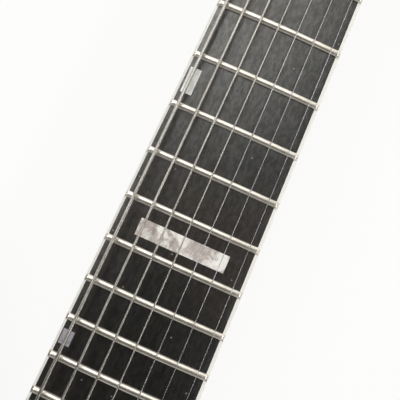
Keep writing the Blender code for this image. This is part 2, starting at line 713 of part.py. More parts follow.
def make_bridge():
    """Cambered bridge bar on two posts with thumbwheels, and seven saddles in its slots."""
    low = BODY_T + BRIDGE_STAND
    half_length = BRIDGE_LENGTH / 2
    rings = []
    for i in range(15):
        share = -1 + 2 * i / 14
        x = share * half_length
        shrink = max(0.0, abs(share) - 0.88) / 0.12
        half = BRIDGE_W / 2 - 0.004 * shrink ** 2
        rings.append(bar_ring(x, BRIDGE_CENTRE, half, low, low + BRIDGE_H - sag(x), 0.0012))
    steps = []
    for side in (-1, 1):
        hole = turned([(0, -0.01), (STUD_R - 0.001 + GAP, -0.01), (STUD_R - 0.001 + GAP, 0.03), (0, 0.03)], 16)
        steps.append(cut(moved(hole, Matrix.Translation((side * POST_SPAN / 2, BRIDGE_CENTRE, low)))))
    reach = SADDLE_LENGTH / 2 + SADDLE_TRAVEL + GAP
    wide = SADDLE_W / 2 + GAP
    for number in STRINGS:
        place = saddle_place(number)
        steps.append(cut(box((place.x - wide, BRIDGE_CENTRE - reach, place.z - SADDLE_H - GAP),
                             (place.x + wide, BRIDGE_CENTRE + reach, place.z + 0.01))))
        saddle = loft([[(sx * SADDLE_W / 2, y, z) for y, z in (
            (-SADDLE_LENGTH / 2, -SADDLE_H), (SADDLE_LENGTH / 2, -SADDLE_H), (SADDLE_LENGTH / 2, -0.0032),
            (0.0007, -0.0001), (0, 0), (-0.0007, -0.0001), (-SADDLE_LENGTH / 2, -0.0032))] for sx in (-1, 1)])
        piece(f"saddle_{number}", mesh_of(saddle), nickel(), Matrix.Translation(place))
    piece("bridge_bar", combined(loft(rings), steps), nickel())

    top = BRIDGE_STAND + BRIDGE_H - sag(POST_SPAN / 2) - GAP
    inner = STUD_R - 0.001
    profile = [(0, -STUD_DEPTH), (STUD_R, -STUD_DEPTH), (STUD_R, 0.0004), (WHEEL_R, 0.0004),
               (WHEEL_R, BRIDGE_STAND - GAP), (inner, BRIDGE_STAND - GAP), (inner, top), (0, top)]
    post = mesh_of(turned(profile, 16))
    for name, side in (("bridge_post_bass", -1), ("bridge_post_treble", 1)):
        piece(name, post, nickel(), Matrix.Translation((side * POST_SPAN / 2, BRIDGE_CENTRE, BODY_T)))


def saddle_place(number):
    """Top of a saddle, just under its string."""
    y = SADDLE_PLACES[number - 1]
    return Vector((string_x(number, y), y, string_under(number, y) - GAP))


def make_tailpiece():
    """Stop tailpiece with its two studs, bored for the strings."""
    low = BODY_T + TAIL_STAND
    half_length = BRIDGE_LENGTH / 2
    rings = []
    for i in range(9):
        share = -1 + 2 * i / 8
        shrink = max(0.0, abs(share) - 0.7) / 0.3
        half = TAIL_W / 2 - 0.002 * shrink
        rings.append(bar_ring(share * half_length, TAIL_CENTRE, half, low, low + TAIL_H, 0.0035))
    steps = []
    for number in STRINGS:
        start, front = string_route(number)[:2]
        along = Matrix.Rotation(math.radians(-90), 4, "X")
        bore = turned([(0, -0.02), (TAIL_BORE_R, -0.02), (TAIL_BORE_R, 0.02), (0, 0.02)], 8)
        steps.append(cut(moved(bore, Matrix.Translation((front.x, TAIL_CENTRE, front.z)) @ along)))
    for side in (-1, 1):
        stud = turned([(0, -STUD_DEPTH), (STUD_R, -STUD_DEPTH), (STUD_R, 0.001), (WHEEL_R, 0.001),
                       (WHEEL_R, TAIL_STAND + TAIL_H + 0.0006), (WHEEL_R - 0.0012, TAIL_STAND + TAIL_H + 0.0018),
                       (0, TAIL_STAND + TAIL_H + 0.0018)], 16)
        steps.append(join(moved(stud, Matrix.Translation((side * POST_SPAN / 2, TAIL_CENTRE, BODY_T)))))
    piece("stop_tailpiece", combined(loft(rings), steps), nickel())


def make_tuners():
    """Seven sealed tuners: housing with its bushing, string post with its winding, and button."""
    back = -HEAD_T - GAP
    case_low = back - CASE_H
    shaft_h = back - CASE_H / 2
    case = box((-CASE_W / 2, WORM_OFFSET / 2 - CASE_LENGTH / 2, case_low),
               (CASE_W / 2, WORM_OFFSET / 2 + CASE_LENGTH / 2, back))
    lower = [e for e in case.edges if min(v.co.z for v in e.verts) < back - 1e-6]
    bmesh.ops.bevel(case, geom=lower, offset=0.0018, segments=1, profile=0.5, affect="EDGES", material=-1)
    outwards = Matrix.Translation((0, WORM_OFFSET, shaft_h)) @ Matrix.Rotation(math.radians(90), 4, "Y")
    boss_end = BUTTON_START - 0.0025
    boss = turned([(0, 0), (0.0043, 0), (0.0043, boss_end - 0.0008), (0.0035, boss_end), (0, boss_end)], 12)
    stem = turned([(0, back - 0.001), (STEM_R, back - 0.001), (STEM_R, GAP), (0.0072, GAP), (0.0072, 0.0011),
                   (0.0060, 0.0013), (0.0058, 0.0028), (0, 0.0028)], 12)
    bore = POST_R + GAP
    post_bore = turned([(0, case_low + 0.0015), (bore, case_low + 0.0015), (bore, 0.01), (0, 0.01)], 12)
    shaft_bore = turned([(0, -0.0062), (SHAFT_R + GAP, -0.0062), (SHAFT_R + GAP, 0.03), (0, 0.03)], 10)
    housing = combined(case, [join(moved(boss, outwards)), join(stem), cut(post_bore),
                              cut(moved(shaft_bore, outwards))])

    button = turned([(0, -0.0060), (SHAFT_R, -0.0060), (SHAFT_R, BUTTON_START - 0.0022), (0.0036, BUTTON_START - 0.0022),
                     (0.0036, BUTTON_START + 0.001), (0, BUTTON_START + 0.001)], 10)
    length = BUTTON_LENGTH
    grip = turned([(0, 0), (0.0045, 0), (BUTTON_R * 0.86, length * 0.22), (BUTTON_R, length * 0.52),
                   (BUTTON_R * 0.88, length * 0.84), (BUTTON_R * 0.5, length), (0, length)], 14)
    moved(grip, Matrix.Translation((0, 0, BUTTON_START)) @ Matrix.Diagonal((0.46, 1, 1, 1)))
    button = combined(button, [join(grip)])

    for number in STRINGS:
        x, along, side = post_place(number)
        place = HEAD @ Matrix.Translation((x, along, 0))
        if side < 0:
            place = place @ Matrix.Rotation(math.pi, 4, "Z")
        wire = STRING_DIAMETERS[number - 1]
        half_wind = WINDS[number - 1] * wire / 2
        post = turned([(0, case_low + 0.0018), (POST_R, case_low + 0.0018), (POST_R, WIND_HEIGHT - half_wind),
                       (POST_R + wire, WIND_HEIGHT - half_wind + wire / 3),
                       (POST_R + wire, WIND_HEIGHT + half_wind - wire / 3), (POST_R, WIND_HEIGHT + half_wind),
                       (POST_R * 0.82, WIND_HEIGHT + 0.0042), (POST_R, POST_HEIGHT - 0.0045),
                       (POST_R, POST_HEIGHT - 0.0006), (POST_R - 0.0006, POST_HEIGHT), (0, POST_HEIGHT)], 12)
        piece(f"tuner_housing_{number}", housing, black_chrome(), place)
        piece(f"tuner_post_{number}", mesh_of(post), nickel(), place)
        piece(f"tuner_button_{number}", button, black_chrome(), place @ outwards)


def make_controls():
    """Volume and tone pots with their knobs, and the three-way pickup switch."""
    can_top = -TOP_SKIN - GAP
    pot = mesh_of(turned([(0, can_top - CAN_H), (CAN_R, can_top - CAN_H), (CAN_R, can_top), (BUSH_R, can_top),
                          (BUSH_R, GAP), (0.0065, GAP), (0.0065, 0.0025), (BORE_R, 0.0025),
                          (BORE_R, can_top - CAN_H + 0.0025), (0, can_top - CAN_H + 0.0025)], 20))
    shaft = BORE_R - GAP
    knob = mesh_of(turned([(0, can_top - CAN_H + 0.0028), (shaft, can_top - CAN_H + 0.0028), (shaft, 0.004),
                           (KNOB_R - 0.002, 0.004), (KNOB_R - 0.002, 0.0008), (KNOB_R, 0.0008),
                           (KNOB_R - 0.0003, KNOB_H - 0.0012), (KNOB_R - 0.0014, KNOB_H), (0, KNOB_H)], 22))
    for name, (x, y) in (("volume", VOLUME_AT), ("tone", TONE_AT)):
        place = Matrix.Translation((x, y, BODY_T))
        piece(f"{name}_pot", pot, zinc(), place)
        piece(f"{name}_knob", knob, black_chrome(), place)

    bush = SWITCH_BORE_R + 0.002
    deep = SWITCH_PIVOT - 0.0055
    switch = turned([(0, can_top - 0.014), (0.008, can_top - 0.014), (0.008, can_top), (bush, can_top), (bush, GAP),
                     (0.0078, GAP), (0.0078, 0.0024), (SWITCH_BORE_R, 0.0024), (SWITCH_BORE_R, deep), (0, deep)], 16)
    place = Matrix.Translation((*SWITCH_AT, BODY_T))
    piece("pickup_switch", mesh_of(switch), nickel(), place)
    ball = SWITCH_BORE_R - GAP
    profile = [(0, -0.0045), (LEVER_R * 0.8, -0.0045)]
    profile += [(ball * math.cos(a), ball * math.sin(a)) for a in (math.radians(d) for d in (-60, -30, 0, 30, 60))]
    profile += [(LEVER_R, ball), (LEVER_R, LEVER_LENGTH - 0.009), (LEVER_R * 1.9, LEVER_LENGTH - 0.006),
                (LEVER_R * 1.9, LEVER_LENGTH - 0.001), (LEVER_R * 1.2, LEVER_LENGTH), (0, LEVER_LENGTH)]
    lever = mesh_of(turned(profile, 12))
    piece("switch_lever", lever, black_plastic(), place @ Matrix.Translation((0, 0, SWITCH_PIVOT)))


def jack_place():
    """Outermost point of the rim at the jack, with +Z pointing out of the body."""
    x = max(p.x for p in BODY_OUTLINE if abs(p.y - JACK_Y) < JACK_FLANGE_R * 1.5)
    return Matrix.Translation((x, JACK_Y, BODY_T / 2)) @ Matrix.Rotation(math.radians(90), 4, "Y")


def strap_places():
    """Tip of the upper horn and middle of the tail, with +Z pointing out of the body."""
    tip = max(BODY_OUTLINE, key=lambda p: p.y)
    tail = min(BODY_OUTLINE, key=lambda p: (round(p.y, 4), abs(p.x)))
    return (Matrix.Translation((tip.x, tip.y, BODY_T / 2)) @ Matrix.Rotation(math.radians(-90), 4, "X"),
            Matrix.Translation((0, tail.y, BODY_T / 2)) @ Matrix.Rotation(math.radians(90), 4, "X"))


def make_hardware():
    """Output jack, cavity cover and the two strap buttons."""
    jack = turned([(0, -JACK_LENGTH), (JACK_BARREL_R, -JACK_LENGTH), (JACK_BARREL_R, GAP), (JACK_FLANGE_R, GAP),
                   (JACK_FLANGE_R, 0.0016), (JACK_FLANGE_R - 0.0006, 0.0022), (JACK_BORE_R, 0.0022),
                   (JACK_BORE_R, -JACK_LENGTH + 0.004), (0, -JACK_LENGTH + 0.004)], 20)
    piece("output_jack", mesh_of(jack), nickel(), jack_place())
    cover = prism(grown(CAVITY_OUTLINE, LEDGE - GAP), 0, COVER_T)
    piece("control_cover", mesh_of(cover), black_plastic())
    button = mesh_of(turned([(0, -STRAP_SCREW_LENGTH), (STRAP_SCREW_R, -STRAP_SCREW_LENGTH), (STRAP_SCREW_R, GAP),
                             (STRAP_R - 0.001, GAP), (STRAP_R - 0.001, 0.002), (0.0035, 0.0036),
                             (0.0035, STRAP_H - 0.0034), (STRAP_R, STRAP_H - 0.0018), (STRAP_R - 0.0008, STRAP_H),
                             (0, STRAP_H)], 16))
    for name, place in zip(("strap_button_upper", "strap_button_lower"), strap_places()):
        piece(name, button, nickel(), place)


make_body()
make_neck()
make_fretboard()
make_binding()
make_inlay()
make_nut()
make_truss_rod()
make_pickups()
make_bridge()
make_tailpiece()
make_strings()
make_tuners()
make_controls()
make_hardware()
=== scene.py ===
# %% [markdown]
# # A seven-string electric guitar, finished
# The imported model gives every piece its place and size. This lesson gives each piece its finish,
# and models again, in more detail, what the camera or a visitor would look at closely.
# The guitar lies on its back on a pale studio floor: +Y runs up the neck, +X is the treble side,
# +Z points out of the front, and Y = 0 is the scale line at the bridge. Lengths are in metres.

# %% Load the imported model
import json
import math
import random

import bmesh
import bpy
from mathutils import Matrix, Vector

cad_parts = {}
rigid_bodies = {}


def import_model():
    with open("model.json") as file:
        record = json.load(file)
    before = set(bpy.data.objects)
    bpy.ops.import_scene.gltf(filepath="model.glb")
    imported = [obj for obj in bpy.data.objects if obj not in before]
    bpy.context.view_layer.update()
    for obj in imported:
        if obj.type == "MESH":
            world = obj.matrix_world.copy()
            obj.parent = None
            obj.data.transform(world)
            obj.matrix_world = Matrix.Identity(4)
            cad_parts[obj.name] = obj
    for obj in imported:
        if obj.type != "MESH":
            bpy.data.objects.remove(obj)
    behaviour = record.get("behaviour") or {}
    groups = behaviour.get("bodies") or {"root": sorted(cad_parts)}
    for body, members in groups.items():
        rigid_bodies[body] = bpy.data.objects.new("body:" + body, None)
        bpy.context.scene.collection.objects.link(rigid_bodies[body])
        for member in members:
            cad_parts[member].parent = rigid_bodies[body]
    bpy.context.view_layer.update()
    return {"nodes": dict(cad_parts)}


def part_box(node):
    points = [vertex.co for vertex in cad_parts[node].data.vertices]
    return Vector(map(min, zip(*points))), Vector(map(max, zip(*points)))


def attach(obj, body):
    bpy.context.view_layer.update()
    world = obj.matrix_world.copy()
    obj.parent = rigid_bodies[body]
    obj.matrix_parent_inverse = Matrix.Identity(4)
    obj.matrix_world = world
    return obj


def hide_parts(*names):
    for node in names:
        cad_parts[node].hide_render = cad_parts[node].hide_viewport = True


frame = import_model()
NODES = frame["nodes"]
MM = 0.001
print("nodes in the model:", len(NODES))

# %% [markdown]
# ## The few sizes that everything follows
# A guitar is laid out from its scale length: the distance from the nut to the bridge. Each fret
# shortens the string by the twelfth root of two. The board widens evenly from the nut to the last
# fret and its top is part of a cylinder. The heights are read from the model's own boxes where a
# node gives them, so that nothing has to be fitted by hand.

# %% Layout of the neck
SCALE = 0.6477
FRETS = 24
NUT_WIDTH = 0.0476
LAST_WIDTH = 0.0678
BOARD_RADIUS = 0.400
BOARD_T = 0.006
BODY_T = 0.0445
NECK_TOP = BODY_T + 0.0015
BOARD_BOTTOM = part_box("fretboard")[0].z
BOARD_TOP = BOARD_BOTTOM + BOARD_T
BOARD_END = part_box("neck")[0].y
BINDING_W = 1.6 * MM
EBONY_BASS_IN = 1.0 * MM      # binding that shows beside the ebony on the bass side
EBONY_TREBLE_IN = 1.5 * MM
GAP = 0.3 * MM
NUT_T = 5 * MM


def fret_y(number):
    """Place of a fret along the neck."""
    return SCALE * 2 ** (-number / 12)


def half_width(y):
    """Half the board's width at y."""
    share = (SCALE - y) / (SCALE - fret_y(FRETS))
    return (NUT_WIDTH + (LAST_WIDTH - NUT_WIDTH) * share) / 2


def sag(x):
    """Drop of the cambered board away from the centreline."""
    return BOARD_RADIUS - math.sqrt(BOARD_RADIUS ** 2 - x * x)


print("board top at", round(BOARD_TOP, 5), "and board end at", round(BOARD_END, 5))

# %% [markdown]
# ## A small language for materials
# A finish is a Principled shader with a few nodes in front of it. Wiring nodes one by one hides
# what they work out, so a value that comes out of a node is wrapped here in a class that can be
# added, multiplied and compared: `0.3 + 0.1 * grain` then makes two Math nodes. Every other node
# comes from one method, which takes the node's type, its settings and what goes into its sockets.


# %% A socket that takes part in arithmetic
class Value:
    """An output of a node. Arithmetic on it adds Math nodes to the same tree."""

    def __init__(self, nodes, output):
        self.nodes = nodes
        self.output = output

    def math(self, operation, *values):
        return self.nodes.node("ShaderNodeMath", {"operation": operation}, dict(enumerate(values)))

    def __add__(self, other):
        return self.math("ADD", self, other)

    def __sub__(self, other):
        return self.math("SUBTRACT", self, other)

    def __rsub__(self, other):
        return self.math("SUBTRACT", other, self)

    def __mul__(self, other):
        return self.math("MULTIPLY", self, other)

    def __gt__(self, other):
        return self.math("GREATER_THAN", self, other)

    def __lt__(self, other):
        return self.math("LESS_THAN", self, other)

    __radd__ = __add__
    __rmul__ = __mul__


# %% The node tree that those values live in
class Nodes:
    """A node tree, with one method that adds any node."""

    def __init__(self, tree):
        self.tree = tree

    def node(self, kind, settings=None, inputs=None, output=0):
        """Add a node: settings first, then values or links for its sockets. Gives one output."""
        made = self.tree.nodes.new(kind)
        for name, value in (settings or {}).items():
            if name == "stops":
                ramp = made.color_ramp
                while len(ramp.elements) < len(value):
                    ramp.elements.new(1.0)
                for element, (place, colour) in zip(ramp.elements, value):
                    element.position = place
                    element.color = (*colour, 1)
            else:
                setattr(made, name, value)
        for name, value in (inputs or {}).items():
            if isinstance(value, Value):
                self.tree.links.new(value.output, made.inputs[name])
            else:
                made.inputs[name].default_value = value
        return None if output is None else Value(self, made.outputs[output])

    def place(self, stretch=(1, 1, 1), turn=(0, 0, 0), centre=(0, 0, 0)):
        """Object coordinates, stretched and turned."""
        where = self.node("ShaderNodeTexCoord", output="Object")
        return self.node("ShaderNodeMapping", {}, {
            "Vector": where, "Scale": stretch, "Rotation": turn, "Location": centre})

    def noise(self, scale, detail=4, roughness=0.5, distortion=0.0, **place):
        """Cloudy noise from 0 to 1 over the object's coordinates."""
        return self.node("ShaderNodeTexNoise", {}, {
            "Vector": self.place(**place), "Scale": scale, "Detail": detail,
            "Roughness": roughness, "Distortion": distortion})

    def ramp(self, value, stops):
        """Colour that changes with a value, through (place, colour) stops."""
        return self.node("ShaderNodeValToRGB", {"stops": stops}, {"Fac": value})

    def smooth(self, value, low, high):
        """Value eased from 0 at low to 1 at high."""
        return self.node("ShaderNodeMapRange", {"interpolation_type": "SMOOTHSTEP"}, {
            "Value": value, "From Min": low, "From Max": high})

    def mixed(self, share, first, second):
        """Blend of two colours."""
        return self.node("ShaderNodeMix", {"data_type": "RGBA"}, {0: share, 6: first, 7: second}, 2)


# %% A finish is a tree that ends in one shader
class Finish(Nodes):
    """A material with a Principled shader. Constants go straight on the shader's sockets."""

    def __init__(self, name, colour, roughness, metallic=0.0, **constants):
        self.material = bpy.data.materials.new(name)
        self.material.use_nodes = True
        super().__init__(self.material.node_tree)
        self.shader = self.tree.nodes["Principled BSDF"]
        self.colour(colour)
        self.set("Roughness", roughness)
        self.set("Metallic", metallic)
        for socket, value in constants.items():
            self.set(socket.replace("_", " "), value)
        self.material.diffuse_color = (*colour[:3], 1)

    def set(self, socket, value):
        """Give a socket of the shader a constant or a link."""
        if isinstance(value, Value):
            self.tree.links.new(value.output, self.shader.inputs[socket])
        else:
            self.shader.inputs[socket].default_value = value

    def colour(self, value):
        self.set("Base Color", value if isinstance(value, Value) else (*value, 1))

    def bump(self, height, depth, strength=1.0):
        """Relief of a given depth in metres."""
        self.set("Normal", self.node("ShaderNodeBump", {}, {
            "Height": height, "Distance": depth, "Strength": strength}))


FINISHES = {}
print("material language ready")

# %% [markdown]
# ## Making a piece
# Each new piece is a bmesh that operators have shaped. It becomes a mesh whose vertices already
# lie where the piece belongs, so the object itself stays at the origin. Round surfaces are shaded
# smooth and edges sharper than a limit stay sharp. The weighted normals keep large flat faces
# flat right up to a rounded edge. The piece then rides on a body and takes its finish.


# %% Turn a mesh or a curve into a finished piece
def shown(name, data, finish, body, replaces):
    """Object for a mesh or a curve: its finish, the body that it rides on, the nodes it replaces."""
    data.materials.append(FINISHES[finish].material)
    obj = bpy.data.objects.new(name, data)
    bpy.context.scene.collection.objects.link(obj)
    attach(obj, body)
    if replaces:
        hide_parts(*replaces)
    return obj


def piece(name, bm, finish, body="guitar", replaces=(), sharp=32, weighted=False):
    """Object from a bmesh, shaded smooth up to its sharp edges."""
    mesh = bpy.data.meshes.new(name)
    bm.to_mesh(mesh)
    bm.free()
    mesh.shade_smooth()
    mesh.set_sharp_from_angle(angle=math.radians(sharp))
    obj = shown(name, mesh, finish, body, replaces)
    if weighted:
        modifier = obj.modifiers.new("even shading", "WEIGHTED_NORMAL")
        modifier.keep_sharp = True
    return obj


# %% Skin through rings of points
def lofted(rings):
    """One loop of edges, extruded and set on each next ring, with both ends filled."""
    bm = bmesh.new()
    loop = [bm.verts.new(p) for p in rings[0]]
    edges = [bm.edges.new(pair) for pair in zip(loop, loop[1:] + loop[:1])]
    for ring in rings[1:]:
        made = bmesh.ops.extrude_edge_only(bm, edges=edges)["geom"]
        fresh = {v for v in made if isinstance(v, bmesh.types.BMVert)}
        loop = [next(e.other_vert(v) for e in v.link_edges if e.other_vert(v) in fresh) for v in loop]
        for vertex, point in zip(loop, ring):
            vertex.co = point
        edges = [e for e in made if isinstance(e, bmesh.types.BMEdge) and set(e.verts) <= fresh]
    bmesh.ops.holes_fill(bm, edges=bm.edges, sides=0)
    bmesh.ops.recalc_face_normals(bm, faces=bm.faces)
    return bm


# %% Solid turned on a lathe
def mm(*points):
    """Points that are given in millimetres."""
    return [tuple(value * MM for value in point) for point in points]


def turned(profile, steps=48, closed=False):
    """Solid spun about Z from (radius, height) points."""
    bm = bmesh.new()
    verts = [bm.verts.new((r, 0, z)) for r, z in profile]
    edges = [bm.edges.new(pair) for pair in zip(verts, verts[1:])]
    if closed:
        edges.append(bm.edges.new((verts[-1], verts[0])))
    bmesh.ops.spin(bm, geom=verts + edges, cent=(0, 0, 0), axis=(0, 0, 1), angle=2 * math.pi,
                   steps=steps, use_merge=True)
    bmesh.ops.remove_doubles(bm, verts=bm.verts, dist=1e-6)
    bmesh.ops.recalc_face_normals(bm, faces=bm.faces)
    return bm


# %% Flat outline pulled up into a solid
def prism(outline, low, high):
    """Solid between two heights over a closed outline."""
    bm = bmesh.new()
    face = bm.faces.new([bm.verts.new((p[0], p[1], low)) for p in outline])
    top = bmesh.ops.extrude_face_region(bm, geom=[face])
    moved = [v for v in top["geom"] if isinstance(v, bmesh.types.BMVert)]
    bmesh.ops.translate(bm, vec=(0, 0, high - low), verts=moved)
    bmesh.ops.recalc_face_normals(bm, faces=bm.faces)
    return bm


# %% Small helpers on a bmesh
LEAST_CORNER = math.radians(30)


def rounded(bm, width):
    """Bevel every edge whose faces meet at more than the least corner."""
    edges = [e for e in bm.edges if e.is_manifold and e.calc_face_angle() > LEAST_CORNER]
    bmesh.ops.bevel(bm, geom=edges, offset=width, segments=2, profile=0.5,
                    affect="EDGES", material=-1, clamp_overlap=True)
    return bm


def carried(bm, matrix):
    """The same shape, carried by a matrix."""
    bmesh.ops.transform(bm, matrix=matrix, verts=bm.verts)
    return bm


def together(*shapes):
    """Several shapes in one bmesh."""
    whole = bmesh.new()
    for bm in shapes:
        mesh = bpy.data.meshes.new("part")
        bm.to_mesh(mesh)
        bm.free()
        whole.from_mesh(mesh)
        bpy.data.meshes.remove(mesh)
    return whole


def copy_of(node):
    """A node's own mesh as a bmesh, its loose triangles merged and its flat faces made whole."""
    bm = bmesh.new()
    bm.from_mesh(NODES[node].data)
    bmesh.ops.remove_doubles(bm, verts=bm.verts, dist=2e-6)
    bmesh.ops.dissolve_limit(bm, angle_limit=math.radians(0.2), verts=bm.verts, edges=bm.edges)
    return bm


print("modelling helpers ready")

# %% [markdown]
# ## Cutting wood and metal
# Routed pockets, drilled holes and sawn slots are cut here as in a workshop: the tool's shape is
# taken away from the blank. Blender's Boolean modifier does it on two throw-away objects, and the
# result comes back as a bmesh, so that it can still be bevelled or moved.


# %% Boolean cuts and joins on a bmesh
def carved(blank_bm, *steps):
    """Blank after its steps, each an operation and the bmesh of a tool."""
    made = []
    for bm in [blank_bm] + [tool for _, tool in steps]:
        mesh = bpy.data.meshes.new("blank")
        bm.to_mesh(mesh)
        bm.free()
        obj = bpy.data.objects.new("blank", mesh)
        bpy.context.scene.collection.objects.link(obj)
        made.append(obj)
    for (operation, _), tool in zip(steps, made[1:]):
        modifier = made[0].modifiers.new("cut", "BOOLEAN")
        modifier.operation = operation
        modifier.object = tool
        modifier.solver = "EXACT"
    graph = bpy.context.evaluated_depsgraph_get()
    result = bmesh.new()
    result.from_mesh(made[0].evaluated_get(graph).data)
    for obj in made:
        bpy.data.objects.remove(obj, do_unlink=True)
    bmesh.ops.dissolve_degenerate(result, edges=result.edges, dist=1e-6)
    return result


def cut(bm):
    return ("DIFFERENCE", bm)


def join(bm):
    return ("UNION", bm)


# %% Blanks and tools
def block(low, high):
    """Box between two corners."""
    bm = bmesh.new()
    bmesh.ops.create_cube(bm, size=1)
    bmesh.ops.scale(bm, vec=[b - a for a, b in zip(low, high)], verts=bm.verts)
    bmesh.ops.translate(bm, vec=[(a + b) / 2 for a, b in zip(low, high)], verts=bm.verts)
    return bm


def rod(radius, low, high, segments=32):
    """Round bar about Z between two heights."""
    bm = bmesh.new()
    bmesh.ops.create_cone(bm, cap_ends=True, segments=segments, radius1=radius, radius2=radius,
                          depth=high - low)
    bmesh.ops.translate(bm, vec=(0, 0, (low + high) / 2), verts=bm.verts)
    return bm


def at(x, y, z=0.0):
    return Matrix.Translation((x, y, z))


def turn(degrees, axis):
    return Matrix.Rotation(math.radians(degrees), 4, axis)


# %% [markdown]
# Curved outlines, such as the body's and the headstock's, are smooth curves through a few
# given points. A centripetal spline never loops between close points, so it draws horns and
# cutaways safely. Straight plates have corners rounded by arcs.


# %% Outlines
def smooth_closed(points, steps):
    """Smooth closed curve through points in millimetres (centripetal Catmull-Rom)."""
    points = [Vector(p) * MM for p in points]
    count = len(points)
    curve = []
    for i in range(count):
        p = [points[(i + k - 1) % count] for k in range(4)]
        t = [0.0]
        for a, b in zip(p, p[1:]):
            t.append(t[-1] + math.sqrt((b - a).length))
        for step in range(steps):
            u = t[1] + (t[2] - t[1]) * step / steps
            a = [p[k].lerp(p[k + 1], (u - t[k]) / (t[k + 1] - t[k])) for k in range(3)]
            b = [a[k].lerp(a[k + 1], (u - t[k]) / (t[k + 2] - t[k])) for k in range(2)]
            curve.append(b[0].lerp(b[1], (u - t[1]) / (t[2] - t[1])))
    return curve


def grown(outline, distance):
    """Counter-clockwise outline moved outwards by a distance."""
    result = []
    for i, point in enumerate(outline):
        along = (outline[(i + 1) % len(outline)] - outline[i - 1]).normalized()
        result.append(point + Vector((along.y, -along.x)) * distance)
    return result


def rounded_box(half_x, half_y, radius, steps=8):
    """Rectangle with round corners, counter-clockwise about the origin."""
    outline = []
    for quarter, (sx, sy) in enumerate(((1, 1), (-1, 1), (-1, -1), (1, -1))):
        for step in range(steps + 1):
            angle = math.pi / 2 * (quarter + step / steps)
            outline.append(Vector((sx * (half_x - radius) + radius * math.cos(angle),
                                   sy * (half_y - radius) + radius * math.sin(angle))))
    return outline


def round_rims(bm, radius, segments, low=True, high=True, beyond=-1.0):
    """Bevel the edges round the flat ends of a prism, apart from those short of a y."""
    levels = [v.co.z for v in bm.verts]
    wanted = ([min(levels)] if low else []) + ([max(levels)] if high else [])
    rims = [e for e in bm.edges if any(all(abs(v.co.z - z) < 1e-6 for v in e.verts) for z in wanted)
            and max(v.co.y for v in e.verts) > beyond]
    bmesh.ops.bevel(bm, geom=rims, offset=radius, segments=segments, profile=0.5,
                    affect="EDGES", material=-1)
    return bm


print("cutting and outline helpers ready")

# %% [markdown]
# ## The camera
# The photograph looks straight down on the middle of the neck from close by, with the neck leaning
# to the right. The frets are a ruler in the picture: their spacing gave the camera's height, its
# place over the board and its turn.

# %% Camera over the ninth to twelfth frets
CAMERA_AT = Vector((1.00 * MM, SCALE - 305.62 * MM, BOARD_TOP + 171.75 * MM))
CAMERA_RIGHT = Vector((0.91366, 0.40623, 0.01452))
CAMERA_UP = Vector((-0.40633, 0.91172, 0.06045))
camera = bpy.data.objects.new("camera", bpy.data.cameras.new("camera"))
camera.data.lens = 37.94
camera.data.sensor_width = 36
camera.data.clip_start = 0.01
camera_turn = Matrix((CAMERA_RIGHT, CAMERA_UP, CAMERA_RIGHT.cross(CAMERA_UP))).transposed()
camera.matrix_world = Matrix.Translation(CAMERA_AT) @ camera_turn.to_4x4()
bpy.context.scene.collection.objects.link(camera)
bpy.context.scene.camera = camera
bpy.context.scene.view_settings.view_transform = "Standard"
print("camera", round((CAMERA_AT.z - BOARD_TOP) * 1000), "mm above the board")

# %% [markdown]
# ## The studio
# A product photograph of black wood needs something bright to mirror in it. A wide softbox hangs
# beyond the headstock, so the board shines grey towards the nut and turns black towards the body.
# A small, hot one over the bass side draws the bright lines on frets and strings. Another on the
# bass side throws the strings' soft shadows to the right, and a long strip on the treble side
# lights the other flank of each string.
#
# The background has to be white, and more light would bleach the guitar. So the floor glows white
# where the camera or a reflection looks at it, and a tenth of it stays plain paper, which keeps
# the guitar's shadow. The room is white for the camera alone. What metal and lacquer mirror is a
# dim room that is pale near the horizon and at both ends, which gives metal its dark lines.

# %% Floor
FLOOR_DROP = 0.2 * MM
FLOOR_HALF = 12
FLOOR_GLOW = 0.9
floor_bm = bmesh.new()
bmesh.ops.create_grid(floor_bm, x_segments=1, y_segments=1, size=FLOOR_HALF)
bmesh.ops.translate(floor_bm, vec=(0, 0, -FLOOR_DROP), verts=floor_bm.verts)
floor_mesh = bpy.data.meshes.new("floor")
floor_bm.to_mesh(floor_mesh)
floor_bm.free()
floor = bpy.data.objects.new("floor", floor_mesh)
bpy.context.scene.collection.objects.link(floor)

floor_finish = bpy.data.materials.new("studio_floor")
floor_finish.use_nodes = True
floor_mesh.materials.append(floor_finish)
floor_nodes = Nodes(floor_finish.node_tree)
floor_nodes.tree.nodes.clear()
seen = floor_nodes.node("ShaderNodeLightPath", output="Is Camera Ray")
for ray in ("Is Glossy Ray", "Is Transmission Ray"):
    seen = seen + floor_nodes.node("ShaderNodeLightPath", output=ray)
paper = floor_nodes.node("ShaderNodeBsdfDiffuse", {}, {"Color": (0.93, 0.93, 0.93, 1)})
white = floor_nodes.node("ShaderNodeEmission", {}, {"Color": (1, 1, 1, 1), "Strength": 1.0})
both = floor_nodes.node("ShaderNodeMixShader", {}, {0: seen * FLOOR_GLOW, 1: paper, 2: white})
floor_nodes.node("ShaderNodeOutputMaterial", {}, {"Surface": both}, output=None)


# %% Lamps
WARM = (1, 0.99, 0.94)
NECK_MIDDLE = Vector((0, 0.38, 0.05))


def softbox(name, place, size, radiance):
    """Warm rectangular lamp of a given brightness, turned to the middle of the neck."""
    data = bpy.data.lights.new(name, "AREA")
    data.shape = "RECTANGLE"
    data.size, data.size_y = size
    data.energy = radiance * math.pi * size[0] * size[1]
    data.color = WARM
    lamp = bpy.data.objects.new(name, data)
    facing = (NECK_MIDDLE - Vector(place)).to_track_quat("-Z", "Y")
    lamp.matrix_world = Matrix.Translation(place) @ facing.to_matrix().to_4x4()
    bpy.context.scene.collection.objects.link(lamp)


